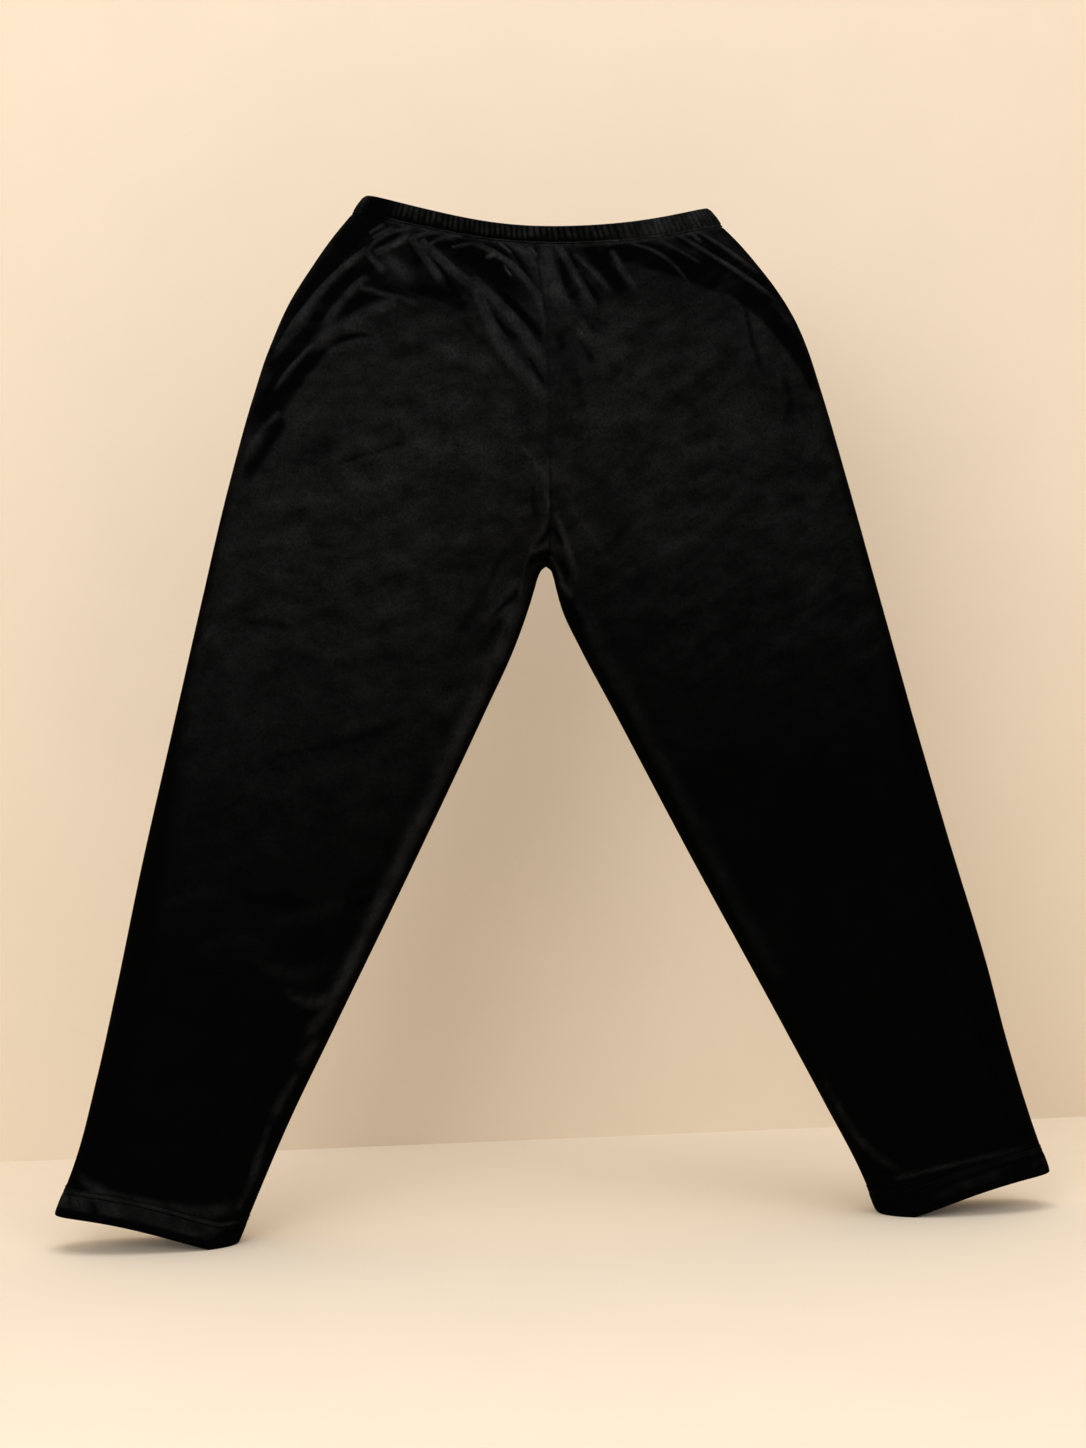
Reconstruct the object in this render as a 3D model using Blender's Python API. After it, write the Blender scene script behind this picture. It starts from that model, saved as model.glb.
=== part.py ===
"""Pull-on lounge pants with a gathered elastic waist, standing hollow on their hems with the legs apart.

The front faces -Y and the wearer's left is +X. Lengths in the tables are millimetres.
"""

from collections import namedtuple

import bmesh
import bpy
import numpy as np

MM = 0.001

# Walls and seams
CLOTH = 2.0
BAND_WALL = 3.0
HEM_WALL = 3.2
HEM_PROUD = 0.4
SEAM_GAP = 0.3

# Heights above the floor, at the front's middle line
BAND_TOP = 952.0
BAND_SEAM = 936.0
RISE_BEND_TOP = 744.0
CROTCH = 634.0
HEM_SEAM = 25.5

# The waistband's upper edge
BAND_TOP_REACH = 166.0
BAND_TOP_SIDE_LIFT = 31.0
BAND_TOP_DEPTH = 46.0
BAND_TOP_BACK_LIFT = 11.0
BAND_BULGE = 1.2

# Fine form
RIBS = 120
RIB_HEIGHT = 1.6
GATHER_PITCH = 34.0
GATHER_HEIGHT = 2.6
GATHER_LENGTH = 70.0
GATHER_WANDER = 0.35
GATHER_WANDER_LENGTH = 17.0
SEAM_HOLD = 0.2
SEAM_HOLD_LENGTH = 26.0
FOLD_FADE = 0.6
SEAM_SHARE = 0.12
HEM_FADE = 60.0
FULLNESS = 2.25
GROUND_SHARE = 0.16
GROUND_FADE = 170.0

# The waist has settled higher on the wearer's right, and its middle has slipped a little that way
WAIST_TILT = 0.04
TILT_START = 850.0
TILT_LENGTH = 95.0
SLIP = 9.0
SLIP_REACH = 110.0

# How finely the pieces are divided
COLUMNS = 28
COLUMN_EVENNESS = 0.6
FINE_ANGLES = 241
HIP_LEVELS = (936, 927, 917, 906, 895, 884, 872, 859, 845, 829, 811, 791, 768, 744)
BEND_TURNS = (15.0, 32.0, 50.0, 70.0, 90.0)
LEG_LEVELS = (630, 622, 606, 578, 535, 475, 390, 300, 200, 100)
QUARTER = 90.0

# How far a seam lies from the middle line at each height, to the wearer's right and left
Reach = namedtuple("Reach", "height right left")
SIDE_SEAM = (
    Reach(34, 480, 480),
    Reach(80, 461, 464.5),
    Reach(160, 438, 441.5),
    Reach(240, 418.5, 422),
    Reach(360, 391, 388),
    Reach(480, 361, 355.5),
    Reach(600, 331, 324.5),
    Reach(720, 300, 293.5),
    Reach(800, 276, 272),
    Reach(845, 260, 258),
    Reach(882, 242, 242),
    Reach(920, 214.5, 219.5),
    Reach(953, 189, 192.5),
    Reach(966, 178, 179),
)
INSEAM = (
    Reach(0, 309, 309),
    Reach(33, 294.5, 296.5),
    Reach(113, 258, 257),
    Reach(193, 217, 216),
    Reach(350, 136, 134.5),
    Reach(497, 62, 60.5),
    Reach(554, 34, 31.5),
    Reach(592, 19, 14.5),
    Reach(613, 12, 9),
    Reach(626, 7.5, 6),
    Reach(631, 4.5, 4),
    Reach(634, 0, 0),
)

# How far each face stands out from the side seams, halfway across one leg's share of the cloth
Depth = namedtuple("Depth", "height front back")
DEPTHS = (
    Depth(0, 45, 45),
    Depth(160, 46, 48),
    Depth(350, 49, 54),
    Depth(554, 52, 61),
    Depth(634, 53, 65),
    Depth(720, 53, 67),
    Depth(800, 52, 65),
    Depth(880, 48, 58),
    Depth(936, 42, 48),
)

# How a line across the cloth lifts from the middle or inseam to the side seam, and the back over the front
Lift = namedtuple("Lift", "height side bow back")
LIFTS = (
    Lift(0, 34, 1.0, 0),
    Lift(100, 38, 1.0, 0),
    Lift(634, 66, 1.0, 0),
    Lift(744, 55, 1.2, 0),
    Lift(810, 47, 1.4, 4),
    Lift(880, 38, 1.7, 8),
    Lift(936, 30, 2.0, 12),
)

# Folds run from where they are strongest to where they fade. A height below nought is a trough.
Fold = namedtuple("Fold", "x_start z_start x_end z_end sway width height")
FRONT_FOLDS = (
    Fold(-118, 940, 0, 778, 6, 18, 7.0),
    Fold(-92, 940, -16, 830, 5, 15, -5.5),
    Fold(-43, 940, 2, 836, 5, 14, 5.0),
    Fold(-24, 938, -3, 862, 3, 12, -3.5),
    Fold(-122, 946, -262, 816, -20, 20, 5.5),
    Fold(-138, 930, -262, 770, -16, 22, -6.0),
    Fold(-172, 902, -290, 725, -8, 20, 5.5),
    Fold(10, 940, 46, 812, 4, 13, 5.0),
    Fold(34, 940, 70, 862, 3, 13, -5.0),
    Fold(62, 944, 142, 886, 6, 16, 4.5),
    Fold(80, 944, 196, 868, 7, 18, -5.0),
    Fold(96, 946, 230, 876, 8, 18, 5.5),
    Fold(130, 950, 236, 848, 8, 19, -5.5),
    Fold(150, 956, 246, 872, 8, 17, 4.5),
    Fold(190, 875, 214, 790, 6, 16, -4.0),
    Fold(-6, 690, -40, 612, -4, 16, -4.0),
    Fold(6, 690, 42, 598, 5, 16, -4.0),
)
BACK_FOLDS = (
    Fold(-112, 952, -236, 836, -14, 19, 5.5),
    Fold(-90, 950, -196, 806, -8, 18, -5.5),
    Fold(-66, 950, -130, 790, -6, 16, 5.5),
    Fold(-46, 948, -86, 816, -5, 14, -4.5),
    Fold(-26, 948, -46, 830, -3, 13, 4.5),
    Fold(12, 948, 16, 838, 2, 13, 4.5),
    Fold(31, 948, 54, 820, 3, 13, -4.5),
    Fold(52, 950, 94, 784, 6, 16, 5.5),
    Fold(76, 950, 156, 822, 8, 17, -5.5),
    Fold(100, 952, 208, 826, 10, 19, 5.5),
    Fold(124, 954, 244, 842, 12, 19, -5.5),
    Fold(-8, 700, -100, 604, -8, 22, -5.0),
    Fold(9, 698, 92, 612, 8, 22, -5.0),
)

CLOTH_COLOUR = (0.0065, 0.0065, 0.0070, 1.0)
BAND_COLOUR = (0.0080, 0.0080, 0.0085, 1.0)
CLOTH_ROUGHNESS = 0.85
SHARP_ANGLE = 45.0


def clear_scene():
    for thing in list(bpy.data.objects):
        bpy.data.objects.remove(thing, do_unlink=True)


def read(table, height, column):
    """A column of a table at a height, on a smooth curve through its rows."""
    heights = np.array([row.height for row in table], float)
    values = np.array([getattr(row, column) for row in table], float)
    slopes = np.gradient(values, heights)
    place = int(np.clip(np.searchsorted(heights, height) - 1, 0, len(heights) - 2))
    span = heights[place + 1] - heights[place]
    part = (height - heights[place]) / span
    rest = 1.0 - part
    start = values[place] * (1.0 + 2.0 * part) * rest * rest
    start_pull = slopes[place] * span * part * rest * rest
    end = values[place + 1] * part * part * (3.0 - 2.0 * part)
    end_pull = -slopes[place + 1] * span * part * part * rest
    return start + start_pull + end + end_pull


def smooth_step(value):
    value = np.clip(value, 0.0, 1.0)
    return value * value * (3.0 - 2.0 * value)


def full_round(angle):
    """Across and out, for an angle round a section that is a little fuller than an ellipse."""
    across = np.cos(angle)
    out = np.sin(angle)
    power = 2.0 / FULLNESS
    return np.sign(across) * np.abs(across) ** power, np.abs(out) ** power


# A line across one face, from the side seam to the middle line or the inseam
Row = namedtuple(
    "Row",
    "level turn side_reach side_height inner_reach inner_height back_lift bow depth_front depth_back",
)


def cloth_row(level, turn, wearer_side):
    inner_reach = read(INSEAM, level, wearer_side) if level < CROTCH else 0.0
    side_height = level + read(LIFTS, level, "side")
    return Row(
        level,
        turn,
        read(SIDE_SEAM, side_height, wearer_side),
        side_height,
        inner_reach,
        level,
        read(LIFTS, level, "back"),
        read(LIFTS, level, "bow"),
        read(DEPTHS, level, "front"),
        read(DEPTHS, level, "back"),
    )


def cloth_rows(wearer_side):
    """The rows of one side from the waistband's seam down to the hem's lower edge."""
    rows = [cloth_row(level, 0.0, wearer_side) for level in HIP_LEVELS]
    for turn in BEND_TURNS:
        level = CROTCH + (RISE_BEND_TOP - CROTCH) * (1.0 - np.sin(np.radians(turn)))
        rows.append(cloth_row(level, turn, wearer_side))
    rows += [cloth_row(level, QUARTER, wearer_side) for level in LEG_LEVELS]
    rows.append(cloth_row(HEM_SEAM, QUARTER, wearer_side))
    rows.append(cloth_row(0.0, QUARTER, wearer_side))
    return rows


def angles_along(row, depth):
    """Where the columns lie round a row: closer together where the cloth turns."""
    end = np.radians(QUARTER + row.turn)
    fine = np.linspace(0.0, end, FINE_ANGLES)
    across, out = full_round(fine)
    half_width = (row.side_reach - row.inner_reach) / (1.0 - across[-1])
    steps = np.hypot(np.diff(across * half_width), np.diff(out * depth))
    length = np.concatenate([[0.0], np.cumsum(steps)])
    shares = np.linspace(0.0, 1.0, COLUMNS + 1)
    even = np.interp(shares * length[-1], length, fine)
    return COLUMN_EVENNESS * even + (1.0 - COLUMN_EVENNESS) * shares * end


def lift_along(row, share):
    """How much of a row's lift is reached at a share of the way to the side seam."""
    plain = np.clip(share, 0.0, 1.0) ** row.bow
    off_ground = np.clip((share - GROUND_SHARE) / (1.0 - GROUND_SHARE), 0.0, 1.0)
    standing = np.sin(np.radians(QUARTER) * off_ground)
    grounded = 1.0 - smooth_step(row.level / GROUND_FADE)
    return (1.0 - grounded) * plain + grounded * standing


def row_points(row, face):
    """The points of a row on the wearer's left, from the side seam inwards. Face is -1 in front, 1 behind."""
    across_end = full_round(np.radians(QUARTER + row.turn))[0]
    half_width = (row.side_reach - row.inner_reach) / (1.0 - across_end)
    halfway = 1.0 - (row.side_reach - row.inner_reach) / (2.0 * half_width)
    out_halfway = (1.0 - np.abs(halfway) ** FULLNESS) ** (1.0 / FULLNESS)
    depth = (row.depth_front if face < 0 else row.depth_back) / out_halfway
    across, out = full_round(angles_along(row, depth))
    x = row.side_reach + half_width * (across - 1.0)
    inner_height = row.inner_height + (row.back_lift if face > 0 else 0.0)
    share = (x - row.inner_reach) / (row.side_reach - row.inner_reach)
    z = inner_height + (row.side_height - inner_height) * lift_along(row, share)
    return np.stack([x, face * depth * out, z], axis=1)


def outward(points, face, rows):
    """The cloth's outward directions. On a seam they lie in the seam's plane, so that both sides meet there."""
    along = np.gradient(points, axis=1)
    down = np.gradient(points, axis=0)
    along[:, 0] = (0.0, face, 0.0)
    for place, row in enumerate(rows):
        along[place, -1] = (-1.0, 0.0, 0.0) if row.turn < QUARTER else (0.0, -face, 0.0)
    direction = np.cross(down, along) * face
    direction /= np.linalg.norm(direction, axis=2, keepdims=True)
    crotch = [place for place, row in enumerate(rows) if row.turn == QUARTER][0]
    direction[crotch, -1] = (0.0, 0.0, -1.0)
    return direction


def fold_height(x, z, folds):
    """How far the cloth stands out at a place, from all its folds."""
    total = np.zeros_like(x)
    for fold in folds:
        start = np.array([fold.x_start, fold.z_start], float)
        run = np.array([fold.x_end, fold.z_end], float) - start
        length = np.hypot(*run)
        run /= length
        along = (x - start[0]) * run[0] + (z - start[1]) * run[1]
        share = along / length
        side = (z - start[1]) * run[0] - (x - start[0]) * run[1]
        side -= 4.0 * fold.sway * share * (1.0 - share)
        bell = 0.5 + 0.5 * np.cos(np.pi * np.clip(np.abs(side) / fold.width, 0.0, 1.0))
        fade = smooth_step((1.0 - share) / FOLD_FADE) * smooth_step(1.0 + along / fold.width)
        total += fold.height * bell * fade
    return total


def gather_height(x, drop, face):
    """Small gathers that hang from the waistband's seam and die out below it."""
    wave = np.cos(2.0 * np.pi * x / GATHER_PITCH + face)
    wander = 1.0 - GATHER_WANDER + GATHER_WANDER * np.cos(x / GATHER_WANDER_LENGTH + face)
    return GATHER_HEIGHT * wave * wander * (1.0 - smooth_step(drop / GATHER_LENGTH))


def away_from_seams(rows):
    """One on the open cloth, falling to nought at the side seams and inseams."""
    shares = np.linspace(0.0, 1.0, COLUMNS + 1)
    side = smooth_step(shares / SEAM_SHARE)
    inner = smooth_step((1.0 - shares) / SEAM_SHARE)
    turned = np.array([row.turn / QUARTER for row in rows])[:, None]
    off_hem = smooth_step(np.array([(row.level - HEM_SEAM) / HEM_FADE for row in rows]))[:, None]
    return side[None, :] * (1.0 - turned * (1.0 - inner[None, :])) * off_hem


def face_points(rows, side, face):
    """The outer points of one panel and its outward directions, on the side where x has this sign."""
    points = np.stack([row_points(row, face) for row in rows])
    drop = np.array([BAND_SEAM - row.level for row in rows])[:, None]
    height = fold_height(side * points[:, :, 0], points[:, :, 2], FRONT_FOLDS if face < 0 else BACK_FOLDS)
    height += gather_height(side * points[:, :, 0], drop, face)
    below_seam = smooth_step(drop / SEAM_HOLD_LENGTH)
    height *= SEAM_HOLD + (1.0 - SEAM_HOLD) * below_seam
    height *= away_from_seams(rows)
    push = outward(points, face, rows) * height[:, :, None]
    push[:, :, 2] *= below_seam
    points = points + push
    direction = outward(points, face, rows)
    points[:, :, 0] *= side
    direction[:, :, 0] *= side
    return points, direction


def split_wall(mesh, upper, lower):
    """Divides both sides of a wall between two rings along the same diagonals, so that it stays even."""
    count = len(upper)
    for place in range(count // 2 - 1):
        back = count - 2 - place
        down = (upper[place + 1].co - lower[place].co).length
        across = (upper[place].co - lower[place + 1].co).length
        for start, turned in ((place, down < across), (back, down >= across)):
            corners = [upper[start], upper[start + 1], lower[start + 1], lower[start]]
            if turned:
                corners = corners[1:] + corners[:1]
            mesh.faces.new(corners[:3])
            mesh.faces.new((corners[2], corners[3], corners[0]))
    for place in (count // 2 - 1, count - 1):
        follow = (place + 1) % count
        mesh.faces.new((upper[place], upper[follow], lower[follow], lower[place]))


def skin(name, rings, looped, colour, collection):
    """A closed body through rings of points. A row of rings that isn't looped is a wall, capped at both ends."""
    mesh = bmesh.new()
    made = [[mesh.verts.new(point * MM) for point in ring] for ring in rings]
    count = len(made[0])
    if looped:
        for upper, lower in zip(made, made[1:] + made[:1]):
            for place in range(count):
                follow = (place + 1) % count
                mesh.faces.new((upper[place], upper[follow], lower[follow], lower[place]))
    else:
        for upper, lower in zip(made, made[1:]):
            split_wall(mesh, upper, lower)
        for ring in (made[0], made[-1]):
            for place in range(count // 2 - 1):
                back = count - 1 - place
                mesh.faces.new((ring[place], ring[place + 1], ring[back - 1], ring[back]))
    bmesh.ops.recalc_face_normals(mesh, faces=mesh.faces)
    data = bpy.data.meshes.new(name)
    mesh.to_mesh(data)
    mesh.free()
    data.shade_smooth()
    data.set_sharp_from_angle(angle=np.radians(SHARP_ANGLE))
    piece = bpy.data.objects.new(name, data)
    data.materials.append(fabric(name + "_cloth", colour))
    collection.objects.link(piece)
    return piece


def fabric(name, colour):
    material = bpy.data.materials.new(name)
    material.use_nodes = True
    shader = material.node_tree.nodes["Principled BSDF"]
    shader.inputs["Base Color"].default_value = colour
    shader.inputs["Roughness"].default_value = CLOTH_ROUGHNESS
    shader.inputs["Metallic"].default_value = 0.0
    return material


def leg_panel(name, rows, side, face, collection):
    """One of the four panels, a wall whose outer side carries the folds."""
    points, direction = face_points(rows, side, face)
    points = points[:-1]
    direction = direction[:-1]
    half_gap = SEAM_GAP / 2.0
    points[:, :, 0] += side * half_gap
    points[:, :, 1] += face * half_gap
    points[0, :, 2] -= half_gap
    points[-1, :, 2] += half_gap
    inner = points - direction * CLOTH
    rings = [np.concatenate([out, back[::-1]]) for out, back in zip(points, inner)]
    return skin(name, rings, False, CLOTH_COLOUR, collection)


def hem(name, rows, side, collection):
    """The turned-up edge of one leg, a ring of two layers that stands on the floor by its inner corner."""
    loops = []
    for face in (-1, 1):
        points, direction = face_points(rows, side, face)
        loops.append((points[-2:], direction[-2:]))
    points = np.concatenate([loops[0][0], loops[1][0][:, -2:0:-1]], axis=1)
    direction = np.concatenate([loops[0][1], loops[1][1][:, -2:0:-1]], axis=1)
    seam, edge = points
    seam = seam - (0.0, 0.0, SEAM_GAP / 2.0)
    level_out = direction[1] * (1.0, 1.0, 0.0)
    level_out /= np.linalg.norm(level_out, axis=1, keepdims=True)
    inset = HEM_WALL - HEM_PROUD
    profile = (
        seam + direction[0] * HEM_PROUD * (1.0, 1.0, 0.0),
        edge + level_out * HEM_PROUD,
        edge - level_out * inset,
        seam - direction[0] * inset,
    )
    rings = np.stack(profile, axis=1)
    return skin(name, rings, True, CLOTH_COLOUR, collection)


def band_edge(left_row, right_row):
    """A closed line round the waist, evenly divided for the ribs, with its level outward directions."""
    left_front = row_points(left_row, -1)
    left_back = row_points(left_row, 1)
    right_front = row_points(right_row, -1) * (-1.0, 1.0, 1.0)
    right_back = row_points(right_row, 1) * (-1.0, 1.0, 1.0)
    line = np.concatenate([left_front[:-1], right_front[:0:-1], right_back[:-1], left_back[:0:-1]])
    closed = np.concatenate([line, line[:1]])
    length = np.concatenate([[0.0], np.cumsum(np.linalg.norm(np.diff(closed, axis=0), axis=1))])
    places = np.linspace(0.0, length[-1], 2 * RIBS, endpoint=False)
    even = np.stack([np.interp(places, length, closed[:, axis]) for axis in range(3)], axis=1)
    tangent = np.roll(even, -1, axis=0) - np.roll(even, 1, axis=0)
    out = np.stack([-tangent[:, 1], tangent[:, 0], np.zeros(len(even))], axis=1)
    out *= np.sign(np.sum(out * even * (1.0, 1.0, 0.0), axis=1))[:, None]
    return even, out / np.linalg.norm(out, axis=1, keepdims=True)


def waistband(left_row, right_row, collection):
    """The elastic casing: a ring whose outer points are raised into ribs over a plain inside."""
    top_row = left_row._replace(
        side_reach=BAND_TOP_REACH,
        side_height=BAND_TOP + BAND_TOP_SIDE_LIFT,
        inner_height=BAND_TOP,
        back_lift=BAND_TOP_BACK_LIFT,
        depth_front=BAND_TOP_DEPTH,
        depth_back=BAND_TOP_DEPTH + left_row.depth_back - left_row.depth_front,
    )
    seam, seam_out = band_edge(left_row, right_row)
    seam = seam + (0.0, 0.0, SEAM_GAP / 2.0)
    top, top_out = band_edge(top_row, top_row)
    middle = (seam + top) / 2.0
    middle_out = (seam_out + top_out) / 2.0
    rib = RIB_HEIGHT * (np.arange(2 * RIBS) % 2)[:, None]
    profile = (
        seam + seam_out * rib,
        middle + middle_out * (BAND_BULGE + rib),
        top + top_out * rib,
        top - top_out * BAND_WALL,
        seam - seam_out * BAND_WALL,
    )
    rings = np.stack(profile, axis=1)
    return skin("waistband", rings, True, BAND_COLOUR, collection)


def settle_waist(pieces):
    """Tilts the waist, and lets the middle of its front and back slip sideways."""
    for piece in pieces:
        for vertex in piece.data.vertices:
            x, height = vertex.co.x / MM, vertex.co.z / MM
            amount = smooth_step((height - TILT_START) / TILT_LENGTH)
            vertex.co.z -= WAIST_TILT * x * amount * MM
            vertex.co.x -= SLIP * amount * (1.0 - smooth_step(abs(x) / SLIP_REACH)) * MM


def centre_front_to_back(pieces):
    """Moves the garment so that the middle of its depth is over the origin."""
    depths = [vertex.co.y for piece in pieces for vertex in piece.data.vertices]
    middle = (min(depths) + max(depths)) / 2.0
    for piece in pieces:
        for vertex in piece.data.vertices:
            vertex.co.y -= middle


def main():
    clear_scene()
    collection = bpy.data.collections.new("lounge_pants")
    bpy.context.scene.collection.children.link(collection)
    rows = {wearer_side: cloth_rows(wearer_side) for wearer_side in ("right", "left")}
    pieces = []
    for wearer_side, side in (("right", -1), ("left", 1)):
        side_rows = rows[wearer_side]
        for face_name, face in (("front", -1), ("back", 1)):
            pieces.append(leg_panel(f"{wearer_side}_{face_name}_panel", side_rows, side, face, collection))
        pieces.append(hem(f"{wearer_side}_hem", side_rows, side, collection))
    pieces.append(waistband(rows["left"][0], rows["right"][0], collection))
    settle_waist(pieces)
    centre_front_to_back(pieces)


main()
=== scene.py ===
"""Pull-on lounge pants in black brushed knit, standing hollow on their hems with the legs apart.

The front faces -Y and the wearer's left is +X. Lengths in the tables are millimetres.
"""

import math
from collections import namedtuple

import bpy
import numpy as np
from bpy.props import FloatProperty, FloatVectorProperty, IntProperty, PointerProperty
from bpy.types import Operator, Panel, PropertyGroup
from mathutils import Matrix, Vector
from mathutils.bvhtree import BVHTree
from numpy.lib.stride_tricks import sliding_window_view


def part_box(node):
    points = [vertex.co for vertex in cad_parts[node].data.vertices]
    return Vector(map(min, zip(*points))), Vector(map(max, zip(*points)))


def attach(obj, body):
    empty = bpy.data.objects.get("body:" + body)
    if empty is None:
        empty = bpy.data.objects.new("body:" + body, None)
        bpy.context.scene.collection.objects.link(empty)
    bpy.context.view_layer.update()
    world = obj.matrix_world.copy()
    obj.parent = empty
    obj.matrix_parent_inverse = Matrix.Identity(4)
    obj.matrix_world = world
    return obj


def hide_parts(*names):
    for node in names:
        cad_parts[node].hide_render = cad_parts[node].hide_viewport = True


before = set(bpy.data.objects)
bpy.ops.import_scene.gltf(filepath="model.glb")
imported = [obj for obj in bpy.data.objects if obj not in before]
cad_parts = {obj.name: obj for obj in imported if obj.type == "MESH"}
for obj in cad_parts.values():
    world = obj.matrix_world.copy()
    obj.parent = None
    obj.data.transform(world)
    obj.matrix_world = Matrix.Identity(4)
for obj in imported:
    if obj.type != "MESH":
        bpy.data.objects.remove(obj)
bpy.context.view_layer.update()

bl_info = {
    "name": "Lounge pants",
    "version": (1, 0, 0),
    "blender": (4, 5, 0),
    "location": "3D View > Sidebar > Lounge pants",
    "description": "Cut, gather and sew pull-on lounge pants in brushed knit",
    "category": "Object",
}

MM = 0.001

# Walls and seams
SEAM_GAP = 0.3
BAND_WALL = 3

# Heights above the floor, at the front's middle line
BAND_TOP = 952
BAND_SEAM = 936
RISE_BEND_TOP = 744
CROTCH = 634
HEM_SEAM = 25.5

# The waistband's upper edge
BAND_TOP_REACH = 166
BAND_TOP_SIDE_LIFT = 31
BAND_TOP_DEPTH = 46
BAND_TOP_BACK_LIFT = 11

# The waist has settled higher on the wearer's right, and its middle has slipped a little that way
WAIST_TILT = 0.04
TILT_START = 850
TILT_LENGTH = 95
SLIP = 9
SLIP_REACH = 110

# The form
FULLNESS = 2.25
GROUND_SHARE = 0.16
GROUND_FADE = 170
COLUMN_EVENNESS = 0.6
FINE_ANGLES = 361
QUARTER = 90

# How finely the cloth is divided
HIP_ROWS = 112
BEND_ROWS = 52
LEG_ROWS = 170
COLUMNS = 140

# The seam plane from side to side lies a little in front of the middle of the garment's depth
SEAM_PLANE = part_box("left_back_panel")[0][1] / MM - SEAM_GAP / 2


def rows_of(kind, *rows):
    """A table's rows, with their columns' names."""
    return [kind(*row) for row in rows]


# How far a seam lies from the middle line at each height, to the wearer's right and left
Reach = namedtuple("Reach", "height right left")
SIDE_SEAM = rows_of(
    Reach,
    (34, 480, 480),
    (80, 461, 464.5),
    (160, 438, 441.5),
    (240, 418.5, 422),
    (360, 391, 388),
    (480, 361, 355.5),
    (600, 331, 324.5),
    (720, 300, 293.5),
    (800, 276, 272),
    (845, 260, 258),
    (882, 242, 242),
    (920, 214.5, 219.5),
    (953, 189, 192.5),
    (966, 178, 179),
)
INSEAM = rows_of(
    Reach,
    (0, 309, 309),
    (33, 294.5, 296.5),
    (113, 258, 257),
    (193, 217, 216),
    (350, 136, 134.5),
    (497, 62, 60.5),
    (554, 34, 31.5),
    (592, 19, 14.5),
    (613, 12, 9),
    (626, 7.5, 6),
    (631, 4.5, 4),
    (634, 0, 0),
)

# How far each face stands out from the side seams, halfway across one leg's share of the cloth
Depth = namedtuple("Depth", "height front back")
DEPTHS = rows_of(
    Depth,
    (0, 45, 45),
    (160, 46, 48),
    (350, 49, 54),
    (554, 52, 61),
    (634, 53, 65),
    (720, 53, 67),
    (800, 52, 65),
    (880, 48, 58),
    (936, 42, 48),
)

# How a line across the cloth lifts from the middle or inseam to the side seam, and the back over the front
Lift = namedtuple("Lift", "height side bow back")
LIFTS = rows_of(
    Lift,
    (0, 34, 1, 0),
    (100, 38, 1, 0),
    (634, 66, 1, 0),
    (744, 55, 1.2, 0),
    (810, 47, 1.4, 4),
    (880, 38, 1.7, 8),
    (936, 30, 2, 12),
)

# Folds run from where they are strongest to where they fade. A height below nought is a trough.
Fold = namedtuple("Fold", "x_start z_start x_end z_end sway width height")
FRONT_FOLDS = rows_of(
    Fold,
    # the broad waves under the gathers
    (-118, 940, 0, 778, 6, 18, 3.5),
    (-92, 940, -16, 830, 5, 15, -2.5),
    (-122, 946, -262, 816, -20, 20, 2.5),
    (-138, 930, -262, 770, -16, 22, -3),
    (-172, 902, -290, 725, -8, 20, 3),
    (10, 940, 46, 812, 4, 13, 2.5),
    (34, 940, 70, 862, 3, 13, -2.5),
    (80, 944, 196, 868, 7, 18, -2.5),
    (96, 946, 230, 876, 8, 18, 2.5),
    (130, 950, 236, 848, 8, 19, -2.5),
    (150, 956, 246, 872, 8, 17, 2.5),
    # the belly's soft waves
    (-92, 778, -190, 752, -4, 12, 2),
    (-64, 742, -158, 712, -4, 10, 1.8),
    (-60, 716, -150, 690, -3, 9, -1.6),
    (70, 852, 150, 826, 4, 12, 2.2),
    (82, 822, 166, 838, 4, 10, -2),
    (60, 700, 172, 676, -4, 14, 1.8),
    (206, 866, 226, 774, 6, 10, 2.4),
    # the legs
    (-94, 505, -210, 486, 6, 14, 1.8),
    (-160, 330, -236, 300, 5, 10, -2.2),
    (-172, 350, -250, 328, 5, 12, 2),
    (110, 470, 214, 440, -5, 13, 2),
    (126, 420, 226, 424, 4, 14, -2),
    (170, 330, 262, 300, -5, 12, 1.8),
    (186, 300, 282, 286, 4, 12, -1.8),
)

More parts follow.
